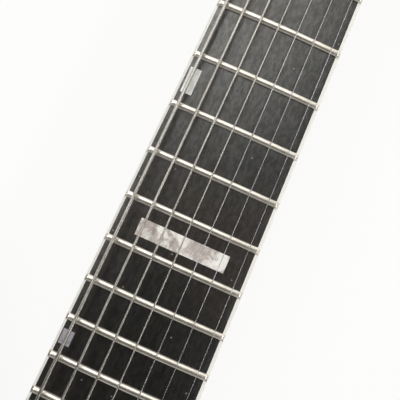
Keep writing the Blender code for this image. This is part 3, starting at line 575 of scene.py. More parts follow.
softbox("softbox_beyond_the_headstock", (-0.10, 1.00, 0.95), (0.80, 0.80), 1.8)
softbox("hot_softbox_over_the_bass_side", (-0.53, 0.96, 1.10), (0.40, 0.40), 4.0)
softbox("softbox_on_the_bass_side", (-0.75, 0.30, 0.85), (0.45, 0.45), 4.5)
softbox("strip_on_the_treble_side", (0.92, 0.38, 0.88), (2.00, 0.16), 7.5)
print("lamps: 4")

# %% Light of the room
BASE_GLOW = 0.045
HORIZON_GLOW = 0.30
END_GLOW = 0.50
HEADSTOCK_END_GLOW = 0.80      # more of it beyond the headstock
OVERHEAD_GLOW = 0.22

world = bpy.data.worlds.new("studio")
world.use_nodes = True
bpy.context.scene.world = world
room = Nodes(world.node_tree)
room.tree.nodes.clear()
look = room.node("ShaderNodeTexCoord", output="Generated")
height = room.node("ShaderNodeSeparateXYZ", {}, {"Vector": look}, "Z")
along = room.node("ShaderNodeSeparateXYZ", {}, {"Vector": look}, "Y")
horizon = 1 - room.smooth(height, 0.08, 0.26)
ends = (1 - room.smooth(height, 0.50, 0.74)) * (along * along)
band = room.smooth(along, -0.16, 0.02) * (1 - room.smooth(along, 0.3, 0.5))
overhead = band * room.smooth(height, 0.8, 0.9)
end_glow = END_GLOW + HEADSTOCK_END_GLOW * room.smooth(along, 0.2, 0.6)
glow = BASE_GLOW + HORIZON_GLOW * horizon + end_glow * ends + OVERHEAD_GLOW * overhead
direct = room.node("ShaderNodeLightPath", output="Is Camera Ray")
sky = room.node("ShaderNodeBackground", {}, {"Color": (1, 0.97, 0.92, 1), "Strength": glow})
backdrop = room.node("ShaderNodeBackground", {}, {"Color": (1, 1, 1, 1), "Strength": 1.0})
both = room.node("ShaderNodeMixShader", {}, {0: direct, 1: sky, 2: backdrop})
room.node("ShaderNodeOutputWorld", {}, {"Surface": both}, output=None)
print("studio ready")

# %% [markdown]
# ## The ebony fingerboard
# Ebony is nearly black, with fine grey-brown streaks along the neck and open pores. Fingers polish
# it and oil feeds it, so it mirrors the softbox dimly. Streaks and pores are the same noise,
# stretched a hundredfold along the neck: it tints the wood, roughens it and sinks the pores.


# %% Ebony
def make_ebony():
    wood = Finish("oiled_ebony", (0.006, 0.0055, 0.005), 0.36, IOR=1.62, Coat_IOR=1.62,
                  Coat_Roughness=0.31)
    streaks = wood.noise(1.0, detail=6, roughness=0.62, stretch=(1500, 34, 1500))
    bands = wood.noise(1.0, detail=3, roughness=0.5, stretch=(190, 9, 190))
    tone = 0.55 * streaks + 0.45 * bands
    ground = wood.ramp(tone, [(0.30, (0.0022, 0.0024, 0.0019)), (0.52, (0.0040, 0.0040, 0.0031)),
                              (0.72, (0.0100, 0.0080, 0.0056))])
    cells = {"Vector": wood.place(), "Scale": 75.0}
    flat = {"feature": "F1", "voronoi_dimensions": "2D"}
    near = wood.node("ShaderNodeTexVoronoi", flat, cells, "Distance")
    chosen = wood.node("ShaderNodeTexVoronoi", flat, cells, "Color")
    lucky = wood.node("ShaderNodeSeparateColor", {}, {"Color": chosen}, "Red")
    specks = (near < 0.024) * (lucky > 0.80)
    brown = wood.smooth(wood.noise(14, detail=3), 0.44, 0.62)
    ground = wood.mixed(brown * 0.8, ground, (0.0150, 0.0105, 0.0080, 1))
    wood.colour(wood.mixed(specks * 0.55, ground, (0.40, 0.39, 0.36, 1)))
    rub = wood.noise(60, detail=3)
    mottle = wood.noise(1.0, detail=5, roughness=0.75, stretch=(620, 260, 620))
    wood.set("Roughness", 0.20 + 0.14 * streaks + 0.12 * mottle + 0.06 * rub)
    wood.set("Coat Weight", 0.10 + 0.72 * wood.smooth(mottle, 0.38, 0.64))
    wood.bump(streaks + 0.6 * mottle + 0.25 * rub, 0.035 * MM, 0.6)
    wood.slot = "ebony_and_frets"
    return wood


FINISHES["ebony"] = make_ebony()

# %% [markdown]
# The board itself is drawn as cross-sections along the neck: flat below, cambered on top, and
# rolled over at the two long edges where the hand slides. It widens towards the body.


# %% Cambered board with rolled edges
BOARD_ROLL = 0.15 * MM
BOARD_STATIONS = 32
ROLL_STEPS = 5
CAMBER_STEPS = 24


def board_section(y, left, right, roll):
    """Ring of points round the board at y: flat underside, cambered top, rolled edges."""
    ring = [(left, y, BOARD_BOTTOM), (right, y, BOARD_BOTTOM)]
    angles = [math.radians(90) * step / ROLL_STEPS for step in range(ROLL_STEPS + 1)]
    curl = [(roll * (1 - math.cos(a)), roll * (1 - math.sin(a))) for a in angles]
    top = [(right - inward, drop) for inward, drop in curl]
    start, stop = right - roll, left + roll
    top += [(start + (stop - start) * i / CAMBER_STEPS, 0) for i in range(1, CAMBER_STEPS)]
    top += [(left + inward, drop) for inward, drop in reversed(curl)]
    ring += [(x, y, BOARD_TOP - sag(x) - drop) for x, drop in top]
    return ring


def make_board():
    start, stop = BOARD_END + BINDING_W, SCALE - GAP
    rings = []
    for i in range(BOARD_STATIONS + 1):
        y = start + (stop - start) * i / BOARD_STATIONS
        half = half_width(y)
        rings.append(board_section(y, EBONY_BASS_IN - half, half - EBONY_TREBLE_IN, BOARD_ROLL))
    return piece("ebony_board", lofted(rings), "ebony", replaces=["fretboard"])


board = make_board()
print("ebony board:", len(board.data.polygons), "faces")

# %% [markdown]
# ## Frets
# A fret is a nickel-silver wire with a round crown, bent to the camber and hammered into its slot.
# Its ends are filed to a slope over the binding. The crown is polished along its length, which
# leaves fine lines across the neck: noise squeezed across the wire and stretched along it.


# %% Nickel silver
def make_fret_metal():
    metal = Finish("nickel_silver", (0.81, 0.77, 0.70), 0.30, 1.0)
    lines = metal.noise(1.0, detail=5, stretch=(60, 5200, 900))
    wear = metal.noise(240, detail=2)
    metal.colour(metal.ramp(wear, [(0.3, (0.75, 0.71, 0.63)), (0.7, (0.89, 0.855, 0.795))]))
    metal.set("Roughness", 0.30 + 0.08 * lines)
    metal.bump(lines, 0.003 * MM, 0.5)
    metal.slot = "ebony_and_frets"
    return metal


FINISHES["fret"] = make_fret_metal()
FRET_W = 2.9 * MM
FRET_H = 1.3 * MM
FRET_SINK = 0.3 * MM
CROWN_STEPS = 12
CROWN_POWER = 0.85      # under 1, so the crown is a little fuller than a half circle
FRET_STATIONS = 20


# %% Twenty-four frets
def fret_section(x, y, lift):
    """Ring round the wire at x: a round crown over a short foot that sits in the board."""
    base = BOARD_TOP - sag(x)
    ring = [(x, y - FRET_W / 2, base - FRET_SINK), (x, y + FRET_W / 2, base - FRET_SINK)]
    for step in range(CROWN_STEPS + 1):
        angle = math.pi * step / CROWN_STEPS
        height = FRET_H * lift * math.sin(angle) ** CROWN_POWER
        ring.append((x, y + FRET_W / 2 * math.cos(angle), base + height))
    return ring


def make_fret(number):
    """One fret wire with sloping ends."""
    y = fret_y(number)
    end = half_width(y) - 0.1 * MM
    slope = 1.1 * MM
    ends = [(0.0, 0.10), (0.10, 0.30), (0.35, 0.58), (0.70, 0.86), (1.0, 0.97), (1.35, 1.0)]
    stations = [(-end + share * slope, lift) for share, lift in ends]
    inner = end - ends[-1][0] * slope
    stations += [(-inner + 2 * inner * i / FRET_STATIONS, 1.0) for i in range(1, FRET_STATIONS)]
    stations += [(end - share * slope, lift) for share, lift in reversed(ends)]
    rings = [fret_section(x, y, lift) for x, lift in stations]
    return piece(f"fret_{number:02d}", lofted(rings), "fret", sharp=50)


frets = [make_fret(number) for number in range(1, FRETS + 1)]
print("frets:", len(frets), "at", [round((SCALE - fret_y(n)) / MM, 1) for n in (1, 12, 24)], "mm")

# %% [markdown]
# ## Binding
# A strip of ivory-coloured plastic runs down both sides of the board and across its body end. It
# is scraped flush with the wood and its outer edge is rolled. The strip is one section carried
# round the path, with a mitre at each corner.


# %% Ivory plastic
def make_ivory():
    plastic = Finish("ivory_plastic", (0.92, 0.91, 0.87), 0.30, Coat_Weight=0.15)
    grain = plastic.noise(1.0, detail=4, stretch=(700, 14, 700))
    plastic.colour(plastic.ramp(grain, [(0.25, (0.92, 0.91, 0.87)), (0.55, (0.95, 0.945, 0.92)),
                                        (0.8, (0.97, 0.965, 0.95))]))
    plastic.set("Roughness", 0.24 + 0.16 * plastic.noise(400, detail=3))
    plastic.bump(grain, 0.01 * MM, 0.4)
    plastic.slot = "ivory_binding"
    return plastic


FINISHES["ivory"] = make_ivory()


# %% The strip's path
BINDING_STATIONS = 16
BINDING_STEPS = 4


def binding_path():
    """Outer and inner points: down the bass side, across the body end, up the treble side."""
    thick = BINDING_W - 0.1 * MM
    end_in = BOARD_END + thick
    nut_end = SCALE - GAP
    corner = half_width(BOARD_END)
    bass = []
    for i in range(BINDING_STATIONS + 1):
        y = nut_end - (nut_end - end_in) * i / BINDING_STATIONS
        bass.append(((-half_width(y), y), (-half_width(y) + thick, y)))
    bass[-1] = ((-corner, BOARD_END), bass[-1][1])
    across = [((corner * share, BOARD_END), (corner * share, end_in))
              for share in (-0.75, -0.5, -0.25, 0, 0.25, 0.5, 0.75)]
    treble = [((-outer[0], outer[1]), (-inner[0], inner[1])) for outer, inner in reversed(bass)]
    return bass + across + treble


# %% The strip
def make_binding():
    flush = 0.02 * MM
    roll = 0.28 * MM
    rings = []
    for outer, inner in binding_path():
        outer, inner = Vector(outer), Vector(inner)
        inward = (inner - outer).normalized()
        ring = [(*outer, BOARD_BOTTOM)]
        for step in range(BINDING_STEPS + 1):
            angle = math.radians(90) * step / BINDING_STEPS
            p = outer + inward * roll * (1 - math.cos(angle))
            ring.append((*p, BOARD_TOP - sag(p.x) - flush - roll * (1 - math.sin(angle))))
        ring += [(*inner, BOARD_TOP - sag(inner.x) - flush), (*inner, BOARD_BOTTOM)]
        rings.append(ring)
    return piece("binding_strip", lofted(rings), "ivory", replaces=["fretboard_binding"], sharp=40)


binding = make_binding()
print("binding:", len(binding.data.polygons), "faces")

# %% [markdown]
# ## Shell inlays
# The position marks are mother-of-pearl, cut a millimetre and a half thick, let into the ebony and
# levelled with it. The block between the eleventh and twelfth frets spans the middle of the board
# and is left plain. The small marks stand on the bass side, one for each usual position. Shell is
# cloudy: soft grey and cream patches with a hint of pink and green, and a bright broken sheen.


# %% Mother-of-pearl
def make_pearl(name, light, shade, warm):
    shell = Finish(name, light, 0.22, Coat_Weight=0.4, Coat_Roughness=0.08)
    cloud = shell.noise(110, detail=5, roughness=0.6, distortion=1.4)
    patch = shell.noise(230, detail=3, roughness=0.7, distortion=0.6, centre=(0.3, 0.1, 0))
    flame = shell.noise(1.0, detail=5, roughness=0.65, stretch=(900, 240, 240), turn=(0, 0, 0.6))
    body = shell.mixed(shell.smooth(cloud, 0.40, 0.58), (*shade, 1), (*light, 1))
    tinted = shell.mixed(shell.smooth(patch, 0.52, 0.66) * 0.6, body, (*warm, 1))
    shell.set("Base Color", shell.mixed(shell.smooth(flame, 0.58, 0.70) * 0.6, tinted, (*shade, 1)))
    shell.set("Roughness", 0.14 + 0.3 * cloud)
    shell.bump(flame + 0.4 * cloud, 0.02 * MM, 0.4)
    shell.slot = "mother_of_pearl"
    return shell


for key, name, light, shade, warm in (
        ("pearl", "mother_of_pearl", (1.0, 0.985, 0.96), (0.52, 0.47, 0.45), (0.80, 0.66, 0.60)),
        ("lilac_pearl", "lilac_pearl", (0.40, 0.39, 0.44), (0.30, 0.29, 0.33), (0.38, 0.36, 0.40)),
        ("white_pearl", "white_pearl", (0.86, 0.87, 0.84), (0.70, 0.71, 0.70), (0.84, 0.80, 0.76))):
    FINISHES[key] = make_pearl(name, light, shade, warm)
INLAY_PROUD = 0.025 * MM
INLAY_T = 1.4 * MM
INLAY_STEPS = 24


# %% Inlays cut from sheet
def inlay(name, x0, x1, y0, y1, finish, replaces=()):
    """Block that follows the camber, a hair proud of the board so that the two never mix."""
    rings = []
    for y in (y0, y1):
        top = [(x1 + (x0 - x1) * i / INLAY_STEPS, y) for i in range(INLAY_STEPS + 1)]
        rings.append([(x0, y, BOARD_TOP - INLAY_T), (x1, y, BOARD_TOP - INLAY_T)]
                     + [(x, y, BOARD_TOP - sag(x) + INLAY_PROUD) for x, y in top])
    return piece(name, lofted(rings), finish, replaces=replaces)


# %% The block and the marks
BLOCK_HALF = 19.7 * MM
BLOCK_W = 7.4 * MM
BLOCK_SHIFT = 0.7 * MM      # towards the twelfth fret
MARK_W = 4.9 * MM
MARKS = (3, 5, 7, 9, 15, 17, 19, 21, 24)
EARLY = ("white_pearl", 2.0 * MM, 0.50)      # shell, distance from the edge, share of the space
LATE = ("lilac_pearl", 1.5 * MM, 0.38)


def space_middle(number):
    """Middle of the space that a fret ends."""
    return (fret_y(number) + fret_y(number - 1)) / 2


block_y = space_middle(12) - BLOCK_SHIFT
inlay("pearl_block", -BLOCK_HALF, BLOCK_HALF, block_y - BLOCK_W / 2, block_y + BLOCK_W / 2, "pearl",
      ["block_inlay"])
for number in MARKS:
    shell, inwards, share = LATE if number > 12 else EARLY
    space = fret_y(number - 1) - fret_y(number)
    centre = space_middle(number)
    left = inwards - half_width(centre)
    inlay(f"pearl_mark_{number:02d}", left, left + MARK_W, centre - space * share / 2,
          centre + space * share / 2, shell)
print("inlays:", 1 + len(MARKS))

# %% [markdown]
# ## Finishes of wood, metal and plastic
# Lacquer is a black ground under a clear coat that is not quite flat. Maple shows fine grain along
# the neck and a faint flame across it. Plated metal is smooth with hairline scratches. Moulded
# plastic has a fine even grain. Each is one short function, so that a change is made in one place.


# %% Lacquer and maple
def make_lacquer():
    paint = Finish("black_lacquer", (0.008, 0.008, 0.010), 0.35, Coat_Weight=1.0,
                   Coat_Roughness=0.03, Coat_IOR=1.5)
    ripple = paint.noise(34, detail=2)
    hairs = paint.noise(1.0, detail=6, roughness=0.7, stretch=(160, 40, 90), turn=(0.2, 0.1, 0.5))
    paint.colour(paint.ramp(ripple, [(0.35, (0.0070, 0.0070, 0.0085)),
                                     (0.7, (0.0100, 0.0098, 0.0110))]))
    paint.set("Roughness", 0.26 + 0.20 * hairs)
    paint.bump(ripple + 0.05 * hairs, 0.020 * MM, 0.5)
    paint.slot = "black_lacquer"
    return paint


def make_maple():
    wood = Finish("satin_maple", (0.60, 0.40, 0.21), 0.42)
    grain = wood.noise(1.0, detail=6, roughness=0.65, stretch=(420, 11, 420))
    rings = wood.noise(1.0, detail=2, roughness=0.4, distortion=0.6, stretch=(38, 3.2, 38))
    flame = wood.noise(1.0, detail=2, stretch=(22, 150, 22))
    tone = 0.45 * grain + 0.40 * rings + 0.15 * flame
    wood.colour(wood.ramp(tone, [(0.30, (0.36, 0.205, 0.088)), (0.48, (0.56, 0.355, 0.170)),
                                 (0.66, (0.70, 0.485, 0.260))]))
    wood.set("Roughness", 0.34 + 0.20 * grain)
    wood.bump(grain, 0.02 * MM, 0.4)
    wood.slot = "neck_maple"
    return wood


def make_bone():
    bone = Finish("polished_bone", (0.84, 0.80, 0.68), 0.30)
    pores = bone.noise(1.0, detail=5, roughness=0.7, stretch=(300, 1600, 1600))
    bone.colour(bone.ramp(pores, [(0.28, (0.66, 0.58, 0.42)), (0.45, (0.83, 0.79, 0.67)),
                                  (0.8, (0.89, 0.87, 0.78))]))
    bone.set("Roughness", 0.24 + 0.16 * pores)
    bone.bump(pores, 0.02 * MM, 0.4)
    bone.slot = "bone"
    return bone


# %% Metals, plastics and felt
def make_metal(name, dull, bright, roughness, slot, depth=0.006 * MM):
    """Plated metal with cloudy wear and hairline scratches."""
    metal = Finish(name, bright, roughness, 1.0)
    cloud = metal.noise(95, detail=4, roughness=0.6)
    hairs = metal.noise(1.0, detail=6, roughness=0.75, stretch=(260, 1900, 700), turn=(0.3, 0.2, 0.4))
    metal.colour(metal.ramp(cloud, [(0.32, dull), (0.66, bright)]))
    metal.set("Roughness", (roughness - 0.05) + 0.08 * cloud + 0.10 * hairs)
    metal.bump(hairs, depth, 0.4)
    metal.slot = slot
    return metal


def make_plastic(name, ground, worn, roughness):
    """Moulded plastic with a fine grain, a little paler where it is rubbed."""
    plastic = Finish(name, ground, roughness)
    grain = plastic.noise(1400, detail=3, roughness=0.6)
    rub = plastic.noise(46, detail=4, roughness=0.6)
    plastic.colour(plastic.ramp(rub, [(0.38, ground), (0.72, worn)]))
    plastic.set("Roughness", (roughness - 0.08) + 0.10 * grain + 0.10 * rub)
    plastic.bump(grain, 0.02 * MM, 0.5)
    plastic.slot = name
    return plastic


def make_felt():
    felt = Finish("black_felt", (0.03, 0.03, 0.032), 0.95, Sheen_Weight=0.4)
    fibre = felt.noise(2600, detail=5, roughness=0.8)
    felt.colour(felt.ramp(fibre, [(0.35, (0.016, 0.016, 0.018)), (0.7, (0.060, 0.058, 0.060))]))
    felt.bump(fibre, 0.15 * MM, 0.8)
    felt.slot = "black_plastic"
    return felt


FINISHES.update(
    lacquer=make_lacquer(), maple=make_maple(), bone=make_bone(), felt=make_felt(),
    nickel=make_metal("nickel_plate", (0.66, 0.63, 0.58), (0.78, 0.76, 0.71), 0.16, "nickel_plate"),
    saddle=make_metal("plated_saddle", (0.62, 0.58, 0.50), (0.76, 0.73, 0.66), 0.22, "saddle_brass"),
    chrome=make_metal("black_chrome", (0.055, 0.055, 0.060), (0.105, 0.105, 0.112), 0.20,
                      "black_chrome"),
    zinc=make_metal("zinc_plate", (0.48, 0.47, 0.43), (0.66, 0.65, 0.61), 0.36, "pot_steel",
                    0.012 * MM),
    rod=make_metal("rod_steel", (0.34, 0.33, 0.32), (0.52, 0.51, 0.50), 0.38, "rod_steel",
                   0.012 * MM),
    winding=make_metal("wound_wire", (0.36, 0.33, 0.29), (0.55, 0.52, 0.47), 0.30, "nickel_plate"),
    plastic=make_plastic("black_plastic", (0.012, 0.012, 0.013), (0.022, 0.022, 0.023), 0.42),
    pickup=make_plastic("pickup_plastic", (0.013, 0.013, 0.014), (0.024, 0.024, 0.025), 0.46))
print("finishes:", len(FINISHES))

# %% [markdown]
# ## The body
# Two or three boards of hardwood are glued side by side, sawn to the outline, and rounded along
# every edge. The forearm rests on a long bevel, and the back is hollowed for the ribs. The packed
# body has coarse curves, because its collision pieces need few faces, so the body is cut again here
# from the same outline with four times the points and a rounder edge.

# %% Outline of the body
BODY_POINTS = [
    (0, -120), (72, -117), (122, -98), (152, -60), (161, -15), (151, 35), (128, 72), (116, 102),
    (119, 134), (131, 168), (142, 202), (147, 228), (143, 242), (130, 245), (111, 232), (90, 212),
    (70, 196), (52, 189), (30, 191), (0, 197), (-30, 204), (-52, 209), (-70, 220), (-89, 245),
    (-107, 275), (-124, 299), (-138, 309), (-151, 304), (-155, 287), (-151, 258), (-143, 220),
    (-131, 180), (-120, 140), (-117, 105), (-125, 72), (-144, 38), (-159, 0), (-162, -35),
    (-152, -75), (-122, -103), (-72, -117)]
CAVITY_POINTS = [
    (70, -60), (84, -84), (112, -89), (134, -62), (140, -20), (135, 28), (114, 38), (92, 22), (73, -12)]
BODY_OUTLINE = smooth_closed(BODY_POINTS, 9)
CAVITY_OUTLINE = smooth_closed(CAVITY_POINTS, 12)


# %% Heights of the body and places of what it carries
def middle(node):
    """Middle of a node's box."""
    low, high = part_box(node)
    return (low + high) / 2


RIM_RADIUS = 5 * MM
COVER_T = 2 * MM
LEDGE = 6 * MM
TOP_SKIN = 6 * MM
HEEL_DEPTH = 17.5 * MM
BRIDGE_Y = middle("bridge_post_bass").y
TAIL_Y = middle("stop_tailpiece").y
POST_X = middle("bridge_post_treble").x
STUD_R = 4 * MM
STUD_DEPTH = 20 * MM
WHEEL_R = 8 * MM
POCKET_MOUTH = 260 * MM
ROUT_CLEAR = 0.4 * MM
ROUT_CORNER = 5.4 * MM
ROUT_DEEPER = 4 * MM
BUSH_R = 4.6 * MM
SWITCH_BUSH_R = 5.6 * MM
JACK_R = 5.7 * MM
JACK_HOLE_DEPTH = 35 * MM
STRAP_HOLE_R = 2.2 * MM
STRAP_HOLE_DEPTH = 16.3 * MM
JACK_FLANGE_T = 2.2 * MM
STRAP_H = 11 * MM
POT_PLACES = {name: middle(f"{name}_pot") for name in ("volume", "tone")}
SWITCH_PLACE = middle("pickup_switch")
print("posts, bridge and tail at", [round(place / MM, 2) for place in (POST_X, BRIDGE_Y, TAIL_Y)], "mm")


# %% Places of the jack and the strap buttons
def jack_place():
    """Face of the rim at the jack, with +Z pointing out of the body."""
    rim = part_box("output_jack")[1].x - JACK_FLANGE_T
    return at(rim, middle("output_jack").y, BODY_T / 2) @ turn(90, "Y")


def strap_places():
    """Tip of the upper horn and middle of the tail, with +Z pointing out of the body."""
    upper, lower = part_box("strap_button_upper"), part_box("strap_button_lower")
    return (at(middle("strap_button_upper").x, upper[1].y - STRAP_H, BODY_T / 2) @ turn(-90, "X"),
            at(0, lower[0].y + STRAP_H, BODY_T / 2) @ turn(90, "X"))


# %% The tools that cut the body
OVER = BODY_T + 20 * MM      # clears the top
UNDER = -10 * MM             # clears the back
BEVEL_REACH = 4 * BODY_T
BEVEL_PLACE = at(-112 * MM, -35 * MM, BODY_T) @ turn(20, "Z") @ turn(-11, "Y")
BELLY_PLACE = at(-190 * MM, 92 * MM, -37 * MM) @ Matrix.Diagonal((0.160, 0.140, 0.056, 1))


def pockets():
    """The neck's pocket and the two pickup routs."""
    corners = ((-1, BOARD_END - GAP), (1, BOARD_END - GAP), (1, POCKET_MOUTH), (-1, POCKET_MOUTH))
    pocket = [(side * (half_width(y) + GAP), y) for side, y in corners]
    tools = [prism(pocket, NECK_TOP - HEEL_DEPTH - GAP, OVER)]
    for name in ("neck", "bridge"):
        low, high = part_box(f"{name}_pickup")
        half_x, half_y = (high.x - low.x) / 2, (high.y - low.y) / 2
        rout = rounded_box(half_x + ROUT_CLEAR, half_y + ROUT_CLEAR, ROUT_CORNER)
        tools.append(carried(prism(rout, low.z - ROUT_DEEPER, OVER), at(0, (low.y + high.y) / 2)))
    return tools


def cavity():
    """The control cavity from behind, and the ledge that its cover lies in."""
    return [prism(CAVITY_OUTLINE, UNDER, BODY_T - TOP_SKIN),
            prism(grown(CAVITY_OUTLINE, LEDGE), UNDER, COVER_T + GAP)]


def stud_holes():
    return [carried(rod(STUD_R + GAP, BODY_T - STUD_DEPTH - GAP, OVER), at(side * POST_X, y))
            for side in (-1, 1) for y in (BRIDGE_Y, TAIL_Y)]


def control_holes():
    """Holes for the bushes of pots and switch, for the jack and for the strap screws."""
    bushes = [(place, BUSH_R) for place in POT_PLACES.values()] + [(SWITCH_PLACE, SWITCH_BUSH_R)]
    tools = [carried(rod(radius + GAP, BODY_T - 2 * TOP_SKIN, OVER), at(place.x, place.y))
             for place, radius in bushes]
    tools.append(carried(rod(JACK_R + GAP, -JACK_HOLE_DEPTH, 20 * MM), jack_place()))
    for place in strap_places():
        tools.append(carried(rod(STRAP_HOLE_R, -STRAP_HOLE_DEPTH, 20 * MM, 16), place))
    return tools


def comforts():
    """The slope for the forearm and the hollow for the ribs."""
    slope = block((-2 * BEVEL_REACH, -BEVEL_REACH, 0), (0, BEVEL_REACH, BEVEL_REACH))
    belly = bmesh.new()
    bmesh.ops.create_uvsphere(belly, u_segments=96, v_segments=64, radius=1)
    return [carried(slope, BEVEL_PLACE), carried(belly, BELLY_PLACE)]


# %% Cut the body
def make_body():
    blank = round_rims(prism(BODY_OUTLINE, 0, BODY_T), RIM_RADIUS, 7)
    tools = pockets() + stud_holes() + cavity() + control_holes() + comforts()
    cuts = [cut(tool) for tool in tools]
    return piece("body_wood", carved(blank, *cuts), "lacquer", replaces=["body"], weighted=True)


body = make_body()
print("body:", len(body.data.polygons), "faces")

# %% [markdown]
# ## The neck
# One length of maple: a square heel glued into the body's pocket, a shaft that is nearly half
# round, a slight thickening behind the nut, and a headstock that leans back seven degrees. It is a
# skin through cross-sections whose corners grow rounder along the shaft. The headstock is a plate
# joined to it, and the tuner holes and the truss rod's channel are cut last.

# %% Sizes of the neck and headstock
HEEL_END = 206 * MM
HEEL_BLEND = 40 * MM
SHAFT_DEPTH = 15 * MM      # where the heel ends
NUT_DEPTH = 13 * MM        # and just before the nut
HEAD_T = 14 * MM
HEAD_EDGE = 1.5 * MM
HEAD_START = 5.5 * MM
STEM_R = 4.7 * MM
HEEL_POWER = 9        # nearly square
SHAFT_POWER = 2.3     # nearly round
NECK_STEPS = 36
HEEL_STATIONS = 14
SHAFT_STATIONS = 16
POST_OUT = 27 * MM         # first tuner of a side: its distance from the centreline
POST_IN = 1 * MM           # and how much nearer to it each next one stands
POST_FIRST = 35 * MM
POST_STEP = 28 * MM
CHANNEL_HALF = 3.05 * MM
WELL_HALF = 4.8 * MM
CHANNEL_DEPTH = 9.3 * MM
STRINGS = range(1, 8)
HEAD_POINTS = [
    (24, 6), (30, 16), (37.5, 26), (39.5, 40), (38.5, 80), (37.5, 116), (33, 130), (20, 139),
    (0, 148), (-20, 156), (-32, 157), (-37.5, 146), (-38, 110), (-38.5, 70), (-39.5, 40),
    (-37.5, 26), (-30, 16), (-24, 6)]
HEAD = at(0, SCALE + NUT_T + GAP, NECK_TOP) @ turn(-7, "X")


def post_place(number):
    """Place of a string's tuner post on the headstock: sideways, along, and its side."""
    side = 1 if number <= 3 else -1
    row = number - 1 if number <= 3 else 7 - number
    return side * (POST_OUT - row * POST_IN), POST_FIRST + row * POST_STEP, side


def neck_ring(y, half, depth, power, top=NECK_TOP):
    """Cross-section: flat on top, round or nearly square below as power grows."""
    ring = []
    for i in range(NECK_STEPS + 1):
        c, s = math.cos(math.pi * i / NECK_STEPS), math.sin(math.pi * i / NECK_STEPS)
        x = half * math.copysign(abs(c) ** (2 / power), c)
        ring.append((x, y, top - depth * abs(s) ** (2 / power)))
    return ring


# %% The shaft's skin
def head_outline(inset=0.0):
    """The headstock's outline beyond the nut, moved inwards by an inset."""
    curve = grown(smooth_closed([(0, -25)] + HEAD_POINTS, 9), -inset)
    return [p for p in curve if p.y > HEAD_START]


def shaft_rings():
    """Cross-sections from the heel's end to the headstock."""
    rings = [neck_ring(BOARD_END, half_width(BOARD_END), HEEL_DEPTH, HEEL_POWER)]
    for step in range(HEEL_STATIONS + 1):
        share = step / HEEL_STATIONS
        ease = share * share * (3 - 2 * share)
        y = HEEL_END + HEEL_BLEND * share
        depth = HEEL_DEPTH + (SHAFT_DEPTH - HEEL_DEPTH) * ease
        rings.append(neck_ring(y, half_width(y), depth, HEEL_POWER + (SHAFT_POWER - HEEL_POWER) * ease))
    shaft = HEEL_END + HEEL_BLEND
    for step in range(1, SHAFT_STATIONS + 1):
        y = shaft + (SCALE - 12 * MM - shaft) * step / SHAFT_STATIONS
        depth = SHAFT_DEPTH + (NUT_DEPTH - SHAFT_DEPTH) * step / SHAFT_STATIONS
        rings.append(neck_ring(y, half_width(y), depth, SHAFT_POWER))
    nut_half = half_width(SCALE)
    rings.append(neck_ring(SCALE, nut_half, NUT_DEPTH + 1 * MM, 2.4))
    rings.append(neck_ring(SCALE + NUT_T, nut_half, NUT_DEPTH + 2 * MM, 2.5))
    volute = HEAD @ Vector((0, 6 * MM, -GAP))
    rings.append(neck_ring(volute.y, nut_half - 0.5 * MM, NUT_DEPTH + 2 * MM, 2.6, volute.z))
    return rings


# %% Headstock, channel and tuner holes
def make_neck():
    dart = 9 * MM
    outline = [Vector((-dart, -6 * MM)), Vector((dart, -6 * MM))] + head_outline()
    plate = round_rims(prism(outline, -HEAD_T, 0), HEAD_EDGE, 4, beyond=0)
    floor, over = NECK_TOP - CHANNEL_DEPTH, NECK_TOP + 10 * MM
    steps = [join(carried(plate, HEAD))]
    for half, start, stop in ((CHANNEL_HALF, BOARD_END + 12 * MM, SCALE + 12 * MM),
                              (WELL_HALF, SCALE - 12 * MM, SCALE + 33 * MM)):
        steps.append(cut(block((-half, start, floor), (half, stop, over))))
    for number in STRINGS:
        hole = rod(STEM_R + GAP, -HEAD_T - 10 * MM, 10 * MM)
        steps.append(cut(carried(hole, HEAD @ at(*post_place(number)[:2]))))
    wood = carved(lofted(shaft_rings()), *steps)
    return piece("neck_wood", wood, "maple", replaces=["neck"], sharp=38, weighted=True)


neck = make_neck()
print("neck:", len(neck.data.polygons), "faces")

# %% [markdown]
# The face of the headstock has a thin veneer, lacquered black like the body. Its edge is set back a
# little, where sandpaper broke the corner, and it is drilled with the same holes.


# %% Headstock veneer
VENEER_HALF = 22.5 * MM
VENEER_START = 0.4 * MM
VENEER_INSET = 1.7 * MM
VENEER_LOW, VENEER_HIGH = -0.3 * MM, 0.22 * MM


def make_veneer():
    start = [Vector((-VENEER_HALF, VENEER_START)), Vector((VENEER_HALF, VENEER_START))]
    plate = prism(start + head_outline(VENEER_INSET), VENEER_LOW, VENEER_HIGH)
    steps = [cut(block((-WELL_HALF, -1 * MM, -5 * MM), (WELL_HALF, 28 * MM, 5 * MM)))]
    for number in STRINGS:
        hole = rod(STEM_R + 0.2 * MM, -5 * MM, 5 * MM)
        steps.append(cut(carried(hole, at(*post_place(number)[:2]))))
    veneer = carried(carved(plate, *steps), HEAD)
    return piece("headstock_veneer", veneer, "lacquer", weighted=True)


veneer = make_veneer()
print("veneer:", len(veneer.data.polygons), "faces")

# %% [markdown]
# ## Truss rod cover and screws
# The well behind the nut, where the truss rod is adjusted, is hidden by a small plate. Every screw
# of the guitar is one domed head with a cross recess: a lathe shape from which two blocks are cut.
# It is made once and copied to each place, at the size that the place needs and turned by chance,
# because no two screws stop at the same angle.

# %% Truss rod cover
ROD_COVER_POINTS = [
    (7, 3), (10, 10), (9.5, 22), (5, 42), (0, 47), (-5, 42), (-9.5, 22), (-10, 10), (-7, 3)]
ROD_COVER_TOP = GAP + 1.8 * MM
plate = prism(smooth_closed(ROD_COVER_POINTS, 8), GAP, ROD_COVER_TOP)
round_rims(plate, 0.5 * MM, 3, low=False)
piece("rod_cover_plate", carried(plate, HEAD), "plastic", replaces=["truss_rod_cover"], weighted=True)
print("truss rod cover", round((ROD_COVER_TOP - GAP) / MM, 1), "mm thick")

# %% One screw for every place
RECESS = 0.7      # share of the head's height


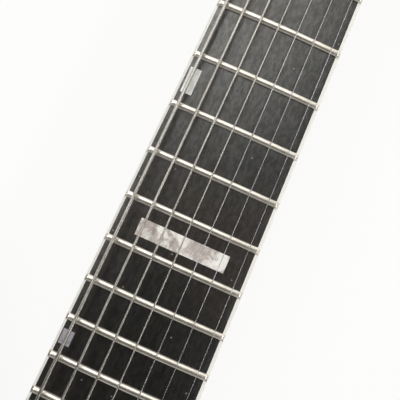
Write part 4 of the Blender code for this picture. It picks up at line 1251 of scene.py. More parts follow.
def screw_head(radius, height):
    """Low domed head with a cross recess, its seat at Z = 0."""
    dome = [(0, -0.3 * height), (radius * 0.97, -0.3 * height), (radius, 0.15 * height)]
    dome += [(radius * math.cos(a), height * (0.15 + 0.85 * math.sin(a)))
             for a in (math.radians(15 * k) for k in range(1, 6))]
    head = turned(dome + [(0, height)], 24)
    arm, wide = radius * 0.62, radius * 0.13
    floor = height * (1 - RECESS)
    cross = [cut(block((-arm, -wide, floor), (arm, wide, 2 * height))),
             cut(block((-wide, -arm, floor), (wide, arm, 2 * height)))]
    return carved(head, *cross)


SMALL_SCREW = screw_head(1.6 * MM, 0.9 * MM)
chance = random.Random(7)


def screw(name, place, size, body="guitar", finish="chrome"):
    """Copy of the small screw at a place, turned a little so that no two look alike."""
    spin = Matrix.Rotation(chance.uniform(0, 1.5), 4, "Z")
    return piece(name, carried(SMALL_SCREW.copy(), place @ spin @ Matrix.Scale(size, 4)), finish, body)


for i, (x, y) in enumerate(mm((0, 42.5), (7.2, 8), (-7.2, 8))):
    screw(f"rod_cover_screw_{i + 1}", HEAD @ at(x, y, ROD_COVER_TOP), 0.8)
print("cover screws: 3 of", len(SMALL_SCREW.faces), "faces each")

# %% [markdown]
# The truss rod itself is a steel bar in the neck's channel. Only its end could ever be seen, so the
# packed rod is used again, with its flat faces made whole and its edges bevelled.

# %% Truss rod
piece("rod_steel_bar", rounded(copy_of("truss_rod"), 0.2 * MM), "rod", replaces=["truss_rod"])
print("truss rod made")

# %% [markdown]
# ## The nut
# A bar of bone between the board and the headstock. Its top follows the camber and slopes back, and
# each string lies in a slot filed to its own thickness, half of it above the bone. The slots are
# round-bottomed, so the tool that cuts one is a slot shape carried along the string.

# %% Where the strings lie
STRING_DIAMETERS = (0.25 * MM, 0.33 * MM, 0.43 * MM, 0.66 * MM, 0.91 * MM, 1.17 * MM, 1.5 * MM)
PLAIN = (1, 2, 3)
NUT_PITCH = 40.5 * MM / 6
BRIDGE_PITCH = 10.4 * MM
STRING_SHIFT = -0.35 * MM
NUT_CLEAR = 1.7 * MM
ACTION = 1.8 * MM
SADDLE_CLEAR = 2 * (FRET_H + ACTION) - NUT_CLEAR
BACK_ANGLE = math.radians(4)
POST_R = 3.0 * MM
WIND_HEIGHT = 5.6 * MM
WINDS = (7, 6, 5, 4, 3.5, 3, 2.5)
TAIL_W = 13 * MM
TAIL_LIP = 0.2 * MM        # the string leaves the tailpiece this far in front of it
BALL_DEPTH = 2 * MM        # and starts this far inside its back


def string_radius(number):
    """Half the thickness of a string."""
    return STRING_DIAMETERS[number - 1] / 2


def string_x(number, y):
    """Sideways place of a string at y."""
    steps = 4 - number
    at_nut = STRING_SHIFT + steps * NUT_PITCH
    at_bridge = STRING_SHIFT + steps * BRIDGE_PITCH
    return at_bridge + (at_nut - at_bridge) * y / SCALE


def string_under(number, y):
    """Height of a string's underside between the saddle and the nut."""
    nut = BOARD_TOP - sag(string_x(number, SCALE)) + NUT_CLEAR
    saddle = BOARD_TOP - sag(string_x(number, 0)) + SADDLE_CLEAR
    return saddle + (nut - saddle) * y / SCALE


def saddle_y(number):
    """Crest of a saddle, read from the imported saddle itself."""
    return middle(f"saddle_{number}").y


# %% Route of a string
def string_route(number):
    """Centreline from the tailpiece over saddle and nut to the winding on the post."""
    radius = string_radius(number)
    y = saddle_y(number)
    saddle = Vector((string_x(number, y), y, string_under(number, y) + radius))
    front = TAIL_Y + TAIL_W / 2 + TAIL_LIP
    low = saddle.z - (y - front) * math.tan(BACK_ANGLE)
    rear = TAIL_Y - TAIL_W / 2 + BALL_DEPTH
    nut = Vector((string_x(number, SCALE), SCALE, string_under(number, SCALE) + radius))
    start = HEAD.inverted() @ nut
    x, along, side = post_place(number)
    reach = POST_R + 3 * radius + GAP
    to_post = Vector((x - start.x, along - start.y))
    bearing = math.atan2(to_post.y, to_post.x) + side * math.asin(reach / to_post.length)
    length = math.sqrt(to_post.length ** 2 - reach ** 2)
    end = Vector((start.x + length * math.cos(bearing), start.y + length * math.sin(bearing),
                  WIND_HEIGHT))
    return [Vector((string_x(number, rear), rear, low)), Vector((string_x(number, front), front, low)),
            saddle, nut, HEAD @ end]


# %% Bone nut with round-bottomed slots
SLOT_WALL = 4 * MM
NUT_ROOF = (      # share of the nut's thickness, and millimetres above its top
    (0, 0.0), (0, 0.45), (0.05, 0.6), (0.2, 0.6), (0.45, 0.3), (0.8, -0.45), (0.95, -0.9), (1, -1.2))


def slot_ring(p, radius):
    """Upright slot at a point: half round below, straight walls above."""
    ring = [(p.x + radius * math.cos(a), p.y, p.z + radius * math.sin(a))
            for a in (math.pi * (1 + k / 8) for k in range(9))]
    return ring + [(p.x + radius, p.y, p.z + SLOT_WALL), (p.x - radius, p.y, p.z + SLOT_WALL)]


def nut_slot(number):
    """Tool for one slot, carried along the string before and behind its bend."""
    before, nut, after = string_route(number)[-3:]
    start = nut - (nut - before).normalized() * 2 * MM
    stop = nut + (after - nut).normalized() * 9 * MM
    return lofted([slot_ring(p, string_radius(number) + 0.06 * MM) for p in (start, nut, stop)])


def make_nut():
    half = half_width(SCALE) - GAP
    rings = []
    for share, top in NUT_ROOF:
        y = SCALE + NUT_T * share
        level = BOARD_TOP + NUT_CLEAR + top * MM
        line = [(half * (1 - i / 20), y, level - sag(half * (1 - i / 20))) for i in range(41)]
        rings.append([(-half, y, NECK_TOP + GAP), (half, y, NECK_TOP + GAP)] + line)
    bar = carved(lofted(rings), *[cut(nut_slot(number)) for number in STRINGS])
    bmesh.ops.holes_fill(bar, edges=[e for e in bar.edges if e.is_boundary], sides=0)
    return piece("bone_nut", bar, "bone", replaces=["nut"], sharp=35)


nut = make_nut()
print("nut:", len(nut.data.polygons), "faces")

# %% [markdown]
# ## Strings
# The four thick strings are a steel core wrapped in nickel wire, and the three thin ones are plain
# steel. Each is one curve with a round section, from the tailpiece over its saddle and the nut to
# its tuner. The fine ridges of the wrap are far too many to model, so they are a wave along the
# string that bends the light, and the wire's warm sheen comes from its roughness.


# %% Wound and plain wire
def make_wire(name, wound, dull, bright):
    wire = Finish(name, bright, 0.30, 1.0)
    tarnish = wire.noise(1.0, detail=4, stretch=(900, 60, 900))
    wire.colour(wire.ramp(tarnish, [(0.3, dull), (0.7, bright)]))
    if wound:
        ridges = wire.node("ShaderNodeTexWave", {"wave_type": "BANDS", "bands_direction": "Y"}, {
            "Vector": wire.place(), "Scale": 860.0, "Distortion": 0.3})
        wire.set("Roughness", 0.22 + 0.12 * (1 - ridges))
        wire.bump(ridges, 0.02 * MM, 0.8)
    else:
        wire.set("Roughness", 0.26 + 0.08 * tarnish)
    wire.slot = "string_steel"
    return wire


FINISHES["wound"] = make_wire("wound_string", True, (0.40, 0.38, 0.355), (0.56, 0.54, 0.515))
FINISHES["plain"] = make_wire("plain_string", False, (0.34, 0.33, 0.35), (0.54, 0.53, 0.58))


# %% Seven strings as curves
BEND_REACH = 1.2 * MM
BEND_STEPS = 6


def wire_curve(name, points, radius, finish, body="guitar", replaces=()):
    """Round wire along points, as a curve with a bevel and filled ends."""
    curve = bpy.data.curves.new(name, "CURVE")
    curve.dimensions = "3D"
    curve.bevel_depth = radius
    curve.bevel_resolution = 4
    curve.use_fill_caps = True
    spline = curve.splines.new("POLY")
    spline.points.add(len(points) - 1)
    for point, place in zip(spline.points, points):
        point.co = (*place, 1)
    return shown(name, curve, finish, body, replaces)


def eased(points, reach):
    """Points with each inner corner turned into a short arc."""
    path = [points[0]]
    for before, corner, after in zip(points, points[1:], points[2:]):
        a = corner + (before - corner).normalized() * reach
        b = corner + (after - corner).normalized() * reach
        for share in (k / BEND_STEPS for k in range(BEND_STEPS + 1)):
            path.append(a.lerp(corner, share).lerp(corner.lerp(b, share), share))
    return path + [points[-1]]


for number in STRINGS:
    route = eased(string_route(number), BEND_REACH)
    finish = "plain" if number in PLAIN else "wound"
    wire_curve(f"wire_{number}", route, string_radius(number), finish, replaces=[f"string_{number}"])
print("strings strung, lowest at the tailpiece", round(min(p.z for p in route) / MM, 1), "mm")

# %% [markdown]
# ## Tuners
# A sealed tuner is a small cast case behind the headstock. A stem comes up through the wood, and a
# hexagonal nut clamps it over a washer. Inside, a worm on the button's shaft turns a gear on the
# post. The post has a waist, where the string winds, and a hole for the string's end. Post and
# button turn, so each is its own piece that rides on its own body.

# %% Sizes of a tuner, measured from the headstock's face
CASE_TOP = -HEAD_T - GAP
CASE_H = 10.5 * MM
CASE_LOW = CASE_TOP - CASE_H
WORM_OFFSET = 7 * MM
BUTTON_START = 16.5 * MM
BUTTON_LENGTH = 13.5 * MM
BUTTON_R = 9.5 * MM
BUTTON_FLAT = 0.46      # its thickness as a share of its width
OUTWARDS = at(0, WORM_OFFSET, CASE_TOP - CASE_H / 2) @ turn(90, "Y")


# %% Case with its boss, stem and back screw
def make_case():
    outline = rounded_box(7.75 * MM, 10 * MM, 2.2 * MM)
    case = carried(prism(outline, CASE_LOW, CASE_TOP), at(0, WORM_OFFSET / 2))
    round_rims(case, 1.3 * MM, 4, high=False)
    boss = turned(mm((0, 0), (4.3, 0), (4.3, 10.6), (3.9, 10.9), (3.9, 12.2), (4.2, 12.5), (4.2, 13.2),
                     (3.6, 13.9), (0, 13.9)), 40)
    low, high = CASE_TOP - 1 * MM, GAP + 2 * MM
    stem = turned([(0, low), (STEM_R, low), (STEM_R, high), (0, high)], 40)
    return carved(case, join(carried(boss, OUTWARDS)), join(stem),
                  cut(rod(POST_R + GAP, CASE_LOW + 1.5 * MM, 10 * MM)),
                  cut(carried(rod(2.9 * MM, -6.2 * MM, 30 * MM), OUTWARDS)))


def make_washer_and_nut():
    bore = STEM_R + 0.02 * MM
    washer = turned([(bore, GAP), (7.2 * MM, GAP), (7.2 * MM, 0.9 * MM), (6.8 * MM, 1.2 * MM),
                     (bore, 1.2 * MM)], 48, closed=True)
    hexagon = rod(6.4 * MM, 1.15 * MM, 3.1 * MM, 6)
    cone = turned(mm((0, 1), (9, 1), (7.2, 2.2), (4.9, 3.6), (0, 3.6)), 48)
    hexagon = carved(hexagon, ("INTERSECT", cone), cut(rod(POST_R + 0.35 * MM, 0, 10 * MM)))
    return together(washer, rounded(hexagon, 0.12 * MM))


# %% Post and button
WAIST = 0.18      # share of the post's radius that its waist is hollowed


def make_post():
    foot, start = CASE_LOW + 1.8 * MM, WIND_HEIGHT - 1.2 * MM
    waist = WIND_HEIGHT + 4.2 * MM
    top = 15.5 * MM
    profile = [(0, foot), (POST_R, foot), (POST_R, start)]
    for k in range(1, 7):
        hollow = WAIST * math.sin(math.pi / 2 * k / 6)
        profile.append((POST_R * (1 - hollow), start + (waist - WIND_HEIGHT) * k / 6))
    profile += [(POST_R * (1 - WAIST + WAIST * k / 4), waist + (top - 4.5 * MM - waist) * k / 4)
                for k in range(5)]
    profile += [(POST_R, top - 0.7 * MM), (POST_R - 0.2 * MM, top - 0.2 * MM), (POST_R - 0.7 * MM, top),
                (0, top)]
    across = at(0, 0, WIND_HEIGHT + 2.6 * MM) @ turn(90, "X")
    eye = carried(rod(1.0 * MM, -10 * MM, 10 * MM, 20), across)
    return carved(turned(profile, 36), cut(eye))


def make_button():
    shaft = turned(mm((0, -6), (2.6, -6), (2.6, 14.3), (3.6, 14.3), (3.6, 17.5), (0, 17.5)), 32)
    curve = ((0.86, 0.22), (0.96, 0.36), (1, 0.52), (0.97, 0.70), (0.88, 0.84), (0.72, 0.94),
             (0.5, 1), (0, 1))      # shares of the button's radius and length
    profile = [(0, 0), (4.5 * MM, 0), (6.4 * MM, BUTTON_LENGTH * 0.08)]
    profile += [(BUTTON_R * wide, BUTTON_LENGTH * along) for wide, along in curve]
    flat = Matrix.Diagonal((BUTTON_FLAT, 1, 1, 1))
    grip = carried(turned(profile, 48), at(0, 0, BUTTON_START) @ flat)
    return carved(shaft, join(grip))


CASE, NUTS, PIN, BUTTON = make_case(), make_washer_and_nut(), make_post(), make_button()
print("faces of case, nuts, pin and button:", [len(bm.faces) for bm in (CASE, NUTS, PIN, BUTTON)])


# %% Winding of a string round its post
TURN_STEPS = 28


def winding(number):
    """Helix of string round the post, in the tuner's own frame."""
    wire = 2 * string_radius(number)
    turns = WINDS[number - 1]
    reach = POST_R + wire / 2 + 0.02 * MM
    steps = int(turns * TURN_STEPS)
    high = WIND_HEIGHT + turns * wire / 2
    angles = [2 * math.pi * k / TURN_STEPS for k in range(steps + 1)]
    return [Vector((reach * math.cos(angle), reach * math.sin(angle), high - turns * wire * k / steps))
            for k, angle in enumerate(angles)]


# %% Seven tuners
BACK_SCREW_OUT = 5 * MM
SCREW_SINK = 0.1 * MM
for number in STRINGS:
    x, along, side = post_place(number)
    place = HEAD @ at(x, along) @ turn(0 if side > 0 else 180, "Z")
    turns_with_post, turns_with_button = f"tuner_post_{number}", f"tuner_button_{number}"
    piece(f"tuner_case_{number}", carried(CASE.copy(), place), "chrome",
          replaces=[f"tuner_housing_{number}"], weighted=True)
    piece(f"tuner_nut_{number}", carried(NUTS.copy(), place), "chrome")
    behind = at(0, WORM_OFFSET + BACK_SCREW_OUT, CASE_LOW) @ turn(180, "X")
    screw(f"tuner_back_screw_{number}", place @ behind, 0.75)
    piece(f"tuner_pin_{number}", carried(PIN.copy(), place), "nickel", turns_with_post,
          [turns_with_post], sharp=40)
    coil = [place @ p for p in winding(number)]
    wire_curve(f"winding_{number}", coil, string_radius(number), "winding", turns_with_post)
    piece(f"tuner_key_{number}", carried(BUTTON.copy(), place @ OUTWARDS), "chrome", turns_with_button,
          [turns_with_button], sharp=40)
    tip = at(0, 0, BUTTON_START + BUTTON_LENGTH - SCREW_SINK)
    screw(f"tuner_key_screw_{number}", place @ OUTWARDS @ tip, 0.9, turns_with_button)
print("tuners: 7, of 7 pieces each")

# %% [markdown]
# ## Bridge
# A cast bar stands on two threaded posts, whose thumbwheels set its height. Seven saddles ride in
# slots across it, and each is drawn along its slot by its own screw, which sets where the string
# ends. The saddles slide, so they are separate pieces on their own bodies, and their screws
# stay with the bar.

# %% Sizes of the bridge
BRIDGE_HALF = (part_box("bridge_bar")[1].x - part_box("bridge_bar")[0].x) / 2
BRIDGE_W = 15.5 * MM
BRIDGE_H = 7.9 * MM
BRIDGE_LIFT = 2.6 * MM
BRIDGE_LOW = BODY_T + BRIDGE_LIFT
SADDLE_W = 6.2 * MM
SADDLE_L = 5.4 * MM
SADDLE_H = 7.5 * MM
SADDLE_TRAVEL = 1.9 * MM
SADDLE_REACH = SADDLE_L / 2 + SADDLE_TRAVEL + GAP
THREAD_R = 1.0 * MM
THREAD_DROP = 5 * MM      # from the top of a saddle down to its screw's axis


def bar_ring(x, centre, half, low, high, edge):
    """Rounded cross-section of a bar that lies along X."""
    section = rounded_box(half, (high - low) / 2, edge, 4)
    return [(x, centre + p.x, (low + high) / 2 + p.y) for p in section]


def saddle_place(number):
    """Top of a saddle, just under its string."""
    y = saddle_y(number)
    return Vector((string_x(number, y), y, string_under(number, y) - GAP))


# %% Bar with its slots
def make_bar():
    rings = []
    for i in range(41):
        share = -1 + i / 20
        shrink = max(0.0, abs(share) - 0.88) / 0.12
        half = BRIDGE_W / 2 - 4 * MM * shrink ** 2
        x = share * BRIDGE_HALF
        rings.append(bar_ring(x, BRIDGE_Y, half, BRIDGE_LOW, BRIDGE_LOW + BRIDGE_H - sag(x), 1.3 * MM))
    steps = []
    for side in (-1, 1):
        bore = rod(STUD_R - 0.7 * MM, -10 * MM, 30 * MM)
        steps.append(cut(carried(bore, at(side * POST_X, BRIDGE_Y, BRIDGE_LOW))))
    wide = SADDLE_W / 2 + GAP
    for number in STRINGS:
        place = saddle_place(number)
        steps.append(cut(block((place.x - wide, BRIDGE_Y - SADDLE_REACH, place.z - SADDLE_H - GAP),
                               (place.x + wide, BRIDGE_Y + SADDLE_REACH, place.z + 10 * MM))))
    return piece("bridge_casting", carved(lofted(rings), *steps), "nickel", replaces=["bridge_bar"],
                 sharp=35, weighted=True)


bar = make_bar()
print("bridge bar:", len(bar.data.polygons), "faces")


# %% Saddles
def string_slot(number):
    """Tool for a slot deep enough for the string's fall when its saddle is drawn right back."""
    radius = string_radius(number) + 0.08 * MM
    fall = math.tan(BACK_ANGLE)
    back = saddle_y(number) - BRIDGE_Y + SADDLE_TRAVEL
    low = GAP - 0.05 * MM - back * fall + radius
    return lofted([slot_ring(Vector((0, y, low + min(0, y) * fall)), radius)
                   for y in (-10 * MM, 0, 10 * MM)])


def make_saddle(number):
    """Block with a sloping roof and a slot for the string."""
    half = SADDLE_L / 2
    eave = -3.2 * MM
    roof = [(-half, -SADDLE_H), (half, -SADDLE_H), (half, eave)]
    roof += mm((1.0, -0.15), (0.4, 0.36), (-0.4, 0.36), (-1.0, -0.15))
    roof.append((-half, eave))
    bm = lofted([[(side * SADDLE_W / 2, y, z) for y, z in roof] for side in (-1, 1)])
    hole = rod(THREAD_R + 0.2 * MM, -10 * MM, 10 * MM, 20)
    hole = carried(hole, at(0, 0, -THREAD_DROP) @ turn(90, "X"))
    return rounded(carved(bm, cut(string_slot(number)), cut(hole)), 0.12 * MM)


# %% Saddles in place, with their screws
thread_front = BRIDGE_Y + SADDLE_REACH + 0.5 * MM
bar_back = BRIDGE_Y - BRIDGE_W / 2
for number in STRINGS:
    place = saddle_place(number)
    piece(f"saddle_block_{number}", carried(make_saddle(number), at(*place)), "saddle",
          f"saddle_{number}", [f"saddle_{number}"], sharp=35)
    axis = place.z - THREAD_DROP
    thread = rod(THREAD_R, bar_back - 0.2 * MM, thread_front, 20)
    piece(f"saddle_thread_{number}", carried(thread, at(place.x, 0, axis) @ turn(-90, "X")), "nickel")
    screw(f"saddle_screw_{number}", at(place.x, bar_back, axis) @ turn(90, "X"), 1.05, finish="nickel")
print("saddles: 7, each with a thread and a screw's head")


# %% Posts with knurled wheels
def knurled(radius, low, high, teeth, depth):
    """Wheel whose rim has a ring of fine teeth."""
    outline = []
    for k in range(4 * teeth):
        r = radius - (depth if k % 4 in (2, 3) else 0)
        angle = 2 * math.pi * k / (4 * teeth)
        outline.append(Vector((r * math.cos(angle), r * math.sin(angle))))
    return round_rims(prism(outline, low, high), min(0.25 * MM, depth), 1)


def make_bridge_post():
    inner = STUD_R - 1 * MM
    top = BRIDGE_LIFT + BRIDGE_H - sag(POST_X) - GAP
    stud = turned([(0, -STUD_DEPTH), (STUD_R, -STUD_DEPTH), (STUD_R, 0.4 * MM), (inner, 0.4 * MM),
                   (inner, top - 0.3 * MM), (inner - 0.3 * MM, top), (0, top)], 36)
    wheel = knurled(WHEEL_R, 0.4 * MM, 2.3 * MM, 48, 0.3 * MM)
    slot = block((-inner, -0.45 * MM, top - 1.1 * MM), (inner, 0.45 * MM, top + 1 * MM))
    return carved(stud, join(wheel), cut(slot))


POST = make_bridge_post()
for name, side in (("bass", -1), ("treble", 1)):
    place = at(side * POST_X, BRIDGE_Y, BODY_T) @ turn(35 * side, "Z")
    piece(f"bridge_stud_{name}", carried(POST.copy(), place), "nickel",
          replaces=[f"bridge_post_{name}"])
print("bridge posts: 2 of", len(POST.faces), "faces")

# %% [markdown]
# ## Tailpiece
# A cast bar behind the bridge holds the strings' ball ends in counterbored holes. Two slotted studs
# hold it by its ends. The balls are little brass spools, one on each string's end.

# %% Bar of the tailpiece with its studs
TAIL_LIFT = 3 * MM
TAIL_LOW = BODY_T + TAIL_LIFT
TAIL_H = 9.2 * MM


def make_tail_stud():
    """Stud with a broad slotted head, and the tool that cuts the slot."""
    top = TAIL_LIFT + TAIL_H + 1.8 * MM
    stud = turned([(0, -STUD_DEPTH), (STUD_R, -STUD_DEPTH), (STUD_R, 1 * MM), (WHEEL_R, 1 * MM),
                   (WHEEL_R, top - 1.6 * MM), (WHEEL_R - 0.3 * MM, top - 0.7 * MM),
                   (WHEEL_R - 1.2 * MM, top - 0.1 * MM), (WHEEL_R - 2 * MM, top), (0, top)], 48)
    return stud, block((-WHEEL_R, -0.8 * MM, top - 1.6 * MM), (WHEEL_R, 0.8 * MM, top + 1 * MM))


def make_tailpiece():
    rings = []
    for i in range(33):
        share = -1 + i / 16
        shrink = max(0.0, abs(share) - 0.7) / 0.3
        half = TAIL_W / 2 - 2 * MM * shrink
        rings.append(bar_ring(share * BRIDGE_HALF, TAIL_Y, half, TAIL_LOW, TAIL_LOW + TAIL_H, 3.5 * MM))
    steps = []
    for number in STRINGS:
        front = string_route(number)[1]
        bore = at(front.x, TAIL_Y, front.z) @ turn(-90, "X")
        steps.append(cut(carried(rod(1.4 * MM, -20 * MM, 20 * MM, 24), bore)))
        steps.append(cut(carried(rod(2.2 * MM, -20 * MM, -TAIL_W / 2 + 3 * MM, 24), bore)))
    for side in (-1, 1):
        stud, slot = make_tail_stud()
        place = at(side * POST_X, TAIL_Y, BODY_T) @ turn(20 * side, "Z")
        steps += [join(carried(stud, place)), cut(carried(slot, place))]
    return piece("tail_casting", carved(lofted(rings), *steps), "nickel", replaces=["stop_tailpiece"],
                 sharp=35, weighted=True)


tail = make_tailpiece()
print("tailpiece:", len(tail.data.polygons), "faces")

# %% Ball ends
SPOOL = turned(mm((0.5, -1.6), (1.9, -1.6), (1.9, -1.1), (1.3, -0.7), (1.3, 0.7), (1.9, 1.1),
                  (1.9, 1.6), (0.5, 1.6)), 24, closed=True)
for number in STRINGS:
    start = string_route(number)[0]
    place = at(start.x, start.y - 0.8 * MM, start.z) @ turn(90, "Y")
    piece(f"ball_end_{number}", carried(SPOOL.copy(), place), "saddle")
print("ball ends: 7 of", len(SPOOL.faces), "faces")

# %% [markdown]
# ## Pickups
# The coils and magnets are sealed in a moulded black case, so nothing of them shows. Its top edge
# is rounded, and two screws in the top hold it at its height. Each case and its screws move together.


# %% Soapbar cases with their screws
SCREW_FROM_END = 6.2 * MM
COUNTERBORE_R = 2.3 * MM


def make_pickup(name):
    low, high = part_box(f"{name}_pickup")
    centre = (low.y + high.y) / 2
    outline = rounded_box(high.x, (high.y - low.y) / 2, 5 * MM, 10)
    shell = round_rims(prism(outline, low.z, high.z), 1.5 * MM, 5, low=False)
    ends = [side * (high.x - SCREW_FROM_END) for side in (-1, 1)]
    bores = [carried(rod(COUNTERBORE_R, high.z - 1.25 * MM, high.z + 5 * MM), at(x, 0)) for x in ends]
    case = carried(carved(shell, *[cut(bore) for bore in bores]), at(0, centre))
    piece(f"{name}_pickup_case", case, "pickup", f"{name}_pickup", [f"{name}_pickup"], weighted=True)
    for i, x in enumerate(ends):
        screw(f"{name}_pickup_screw_{i + 1}", at(x, centre, high.z - 1.2 * MM), 1.15, f"{name}_pickup")


for name in ("neck", "bridge"):
    make_pickup(name)
print("pickups: 2 cases and 4 screws")

# %% [markdown]
# ## Controls
# Each pot hangs under the wood with its threaded bush held by a nut on top. Its knob is a turned
# metal drum, knurled round the side for grip, with a fine groove filled with white to show where it
# stands. The switch is a toggle: a round nut, and a lever with a moulded tip.

# %% Knobs
KNOB_R = 9.5 * MM
KNOB_H = 15.5 * MM
KNURL_TOP = KNOB_H - 3.2 * MM
SHAFT_R = 3.0 * MM
CAN_TOP = -TOP_SKIN - GAP
CAN_H = 10.5 * MM
CAN_LOW = CAN_TOP - CAN_H


def make_knob():
    drum = knurled(KNOB_R, 2.2 * MM, KNURL_TOP, 44, 0.35 * MM)
    side = mm((0.35, 0.8), (0, 1.1), (0, 1.9), (0.6, 2.4)) + [
        (0.6 * MM, KNURL_TOP), (0.1 * MM, KNOB_H - 2.9 * MM), (0.25 * MM, KNOB_H - 1.5 * MM),
        (0.9 * MM, KNOB_H - 0.5 * MM), (2.4 * MM, KNOB_H)]
    profile = [(0, 0.8 * MM)] + [(KNOB_R - inwards, z) for inwards, z in side] + [(0, KNOB_H)]
    hollow = rod(KNOB_R - 2 * MM, -1 * MM, 4 * MM, 48)
    shaft = rod(SHAFT_R, CAN_LOW + 2.8 * MM, 6 * MM)
    groove = block((KNOB_R - 4.5 * MM, -0.35 * MM, KNOB_H - 0.35 * MM),
                   (KNOB_R + 1 * MM, 0.35 * MM, KNOB_H + 1 * MM))
    return carved(turned(profile, 60), join(drum), cut(hollow), join(shaft), cut(groove))


def make_knob_line():
    """The white filling of the groove."""
    line = block((KNOB_R - 4.4 * MM, -0.3 * MM, KNOB_H - 0.45 * MM),
                 (KNOB_R - 2.2 * MM, 0.3 * MM, KNOB_H - 0.05 * MM))
    return rounded(line, 0.05 * MM)


# %% Pots under the wood
def make_pot():
    bore, bore_low = SHAFT_R + GAP, CAN_LOW + 2.5 * MM
    can = turned([(0, CAN_LOW), (11.4 * MM, CAN_LOW), (12 * MM, CAN_LOW + 0.6 * MM),
                  (12 * MM, CAN_TOP - 1.2 * MM), (11.6 * MM, CAN_TOP), (BUSH_R, CAN_TOP), (BUSH_R, GAP),
                  (6.5 * MM, GAP), (6.5 * MM, 0.8 * MM), (5.9 * MM, 0.9 * MM), (5.9 * MM, 2.2 * MM),
                  (5.2 * MM, 2.5 * MM), (bore, 2.5 * MM), (bore, bore_low), (0, bore_low)], 48)
    lug = block((-5 * MM, 10 * MM, CAN_TOP - 3.2 * MM), (5 * MM, 15 * MM, CAN_TOP - 2 * MM))
    return carved(can, join(rounded(lug, 0.3 * MM)))


KNOB, KNOB_LINE, POT = make_knob(), make_knob_line(), make_pot()
for name, place in POT_PLACES.items():
    top = at(place.x, place.y, BODY_T)
    knob, aim = f"{name}_knob", top @ turn(90, "Z")
    piece(f"{name}_pot_can", carried(POT.copy(), top), "zinc", replaces=[f"{name}_pot"])
    piece(f"{knob}_drum", carried(KNOB.copy(), aim), "chrome", knob, [knob])
    piece(f"{knob}_line", carried(KNOB_LINE.copy(), aim), "ivory", knob)
print("knobs: 2 of", len(KNOB.faces), "faces, pots: 2 of", len(POT.faces))


# %% Toggle switch
def make_switch():
    low, deep = CAN_TOP - 14 * MM, -8.5 * MM
    can = turned([(0, low), (8 * MM, low), (8 * MM, CAN_TOP), (SWITCH_BUSH_R, CAN_TOP),
                  (SWITCH_BUSH_R, GAP), (7.8 * MM, GAP), (7.8 * MM, 0.7 * MM), (6 * MM, 0.7 * MM),
                  (6 * MM, 2.4 * MM), (3.6 * MM, 2.4 * MM), (3.6 * MM, deep), (0, deep)], 40)
    ring = knurled(7.2 * MM, 0.7 * MM, 2.3 * MM, 36, 0.3 * MM)
    ring = carved(ring, cut(rod(5 * MM, -1 * MM, 5 * MM)))
    return carved(can, join(ring))


def make_lever():
    ball = 3.3 * MM
    angles = [math.radians(a) for a in range(-60, 61, 10)]
    profile = mm((0, -4.5), (1.1, -4.5))
    profile += [(ball * math.cos(a), ball * math.sin(a)) for a in angles]
    profile += [(1.4 * MM, ball + 0.3 * MM), (1.4 * MM, 12 * MM), (0, 12 * MM)]
    return turned(profile, 32)


def make_lever_tip():
    return turned(mm((0, 11), (1.5, 11), (1.9, 11.4), (2.3, 13), (2.66, 15), (2.66, 18.6), (2.4, 19.9),
                     (1.8, 20.7), (0.9, 21), (0, 21)), 32)


PIVOT_DEPTH = 3 * MM
switch_top = at(SWITCH_PLACE.x, SWITCH_PLACE.y, BODY_T)
pivot = switch_top @ at(0, 0, -PIVOT_DEPTH)
piece("switch_can", carried(make_switch(), switch_top), "nickel", replaces=["pickup_switch"])
piece("switch_stick", carried(make_lever(), pivot), "nickel", "switch_lever", ["switch_lever"],
      sharp=40)
piece("switch_tip", carried(make_lever_tip(), pivot), "plastic", "switch_lever", sharp=40)
print("switch made")

# %% [markdown]
# ## Jack, strap buttons and the back cover
# The jack is a long barrel screwed into the rim, with a flange that is slotted for a spanner. The
# strap buttons are turned, with a felt washer against the lacquer and a screw down the middle. The
# cover lies flush in its ledge on the back and is held by countersunk screws.


# %% Jack and strap buttons
def make_jack():
    profile = mm((0, -36), (5.3, -36)) + [(JACK_R, -35.6 * MM), (JACK_R, GAP), (9 * MM, GAP)]
    profile += mm((9, 1.5), (8.4, 2.1), (7, 2.2), (4.2, 2.2), (3.25, 1.8), (3.25, -32), (0, -32))
    slot = block((6.6 * MM, -0.9 * MM, 1.2 * MM), (10 * MM, 0.9 * MM, 4 * MM))
    slots = [cut(carried(slot.copy(), turn(90 * k, "Z"))) for k in range(4)]
    return carved(turned(profile, 64), *slots)


def make_strap_button():
    return turned(mm((0, -16), (0.4, -16), (1.9, -13), (1.9, 1.3), (5.6, 1.3), (6, 1.7), (6, 2.1),
                     (4.6, 3), (3.7, 4.2), (3.5, 5.4), (3.6, 6.6), (4.4, 7.8), (6.2, 8.8), (7, 9.4),
                     (7, 9.9), (6.5, 10.6), (5.6, 11), (3.4, 11), (2.6, 10.2), (0, 10.2)), 64)


def make_felt_washer():
    return turned(mm((2.2, 0.1), (6.6, 0.1), (6.8, 0.6), (6.6, 1.2), (2.2, 1.2)), 48, closed=True)


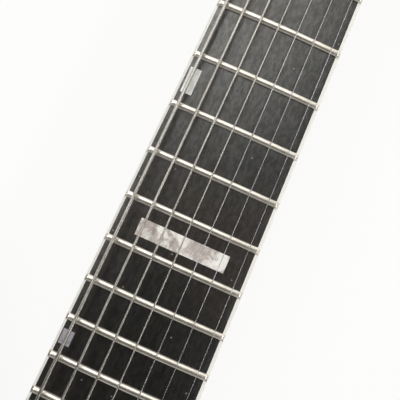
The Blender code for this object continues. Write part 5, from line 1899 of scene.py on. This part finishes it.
# %% Jack and strap buttons in place
piece("jack_barrel", carried(make_jack(), jack_place()), "nickel", replaces=["output_jack"],
      weighted=True)
for name, place in zip(("upper", "lower"), strap_places()):
    piece(f"strap_peg_{name}", carried(make_strap_button(), place), "nickel",
          replaces=[f"strap_button_{name}"], sharp=40)
    piece(f"strap_felt_{name}", carried(make_felt_washer(), place), "felt", sharp=60)
    screw(f"strap_screw_{name}", place @ at(0, 0, 10 * MM), 1.5)
print("jack and 2 strap buttons made")

# %% Back cover and its screws
COVER_SCREWS = 6
FIRST_SCREW = 4      # its point on the outline
rim = grown(CAVITY_OUTLINE, LEDGE / 2)
cover_screws = [rim[(i * len(rim) // COVER_SCREWS + FIRST_SCREW) % len(rim)]
                for i in range(COVER_SCREWS)]
plate = prism(grown(CAVITY_OUTLINE, LEDGE - GAP), 0.0, COVER_T)
round_rims(plate, 0.25 * MM, 2, high=False)
sinks = [cut(carried(rod(1.9 * MM, -1 * MM, 1.3 * MM), at(p.x, p.y))) for p in cover_screws]
piece("cover_plate", carved(plate, *sinks), "plastic", replaces=["control_cover"], weighted=True)
for i, p in enumerate(cover_screws):
    screw(f"cover_screw_{i + 1}", at(p.x, p.y, 1.1 * MM) @ turn(180, "X"), 1.1)
print("back cover and", COVER_SCREWS, "screws made")

# %% [markdown]
# ## Side dots
# The player sees the neck from its bass side, so small black dots in the edge of the binding mark
# the same positions as the inlays: one at each, two at the twelfth and the last.

# %% Dots in the edge of the binding
DOT_R = 1.0 * MM
DOT_HEIGHT = BOARD_BOTTOM + 3.6 * MM
PAIR_SHIFT = 3 * MM
DOTTED = sorted(MARKS + (12,))
for number in DOTTED:
    shifts = (-PAIR_SHIFT, PAIR_SHIFT) if number in (12, 24) else (0,)
    dots = []
    for y in (space_middle(number) + shift for shift in shifts):
        outwards = at(-half_width(y), y, DOT_HEIGHT) @ turn(-90, "Y")
        dots.append(carried(rod(DOT_R, -0.4 * MM, 0.01 * MM, 24), outwards))
    piece(f"side_dot_{number:02d}", together(*dots), "plastic")
print("side dots at", len(DOTTED), "places")

# %% [markdown]
# ## Is every node replaced?
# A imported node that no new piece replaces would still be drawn, and without a finish. The nodes
# that still show are listed here: the list has to be empty.

# %% List the nodes that still show
print("nodes that still show:", [name for name, obj in NODES.items() if not obj.hide_render])
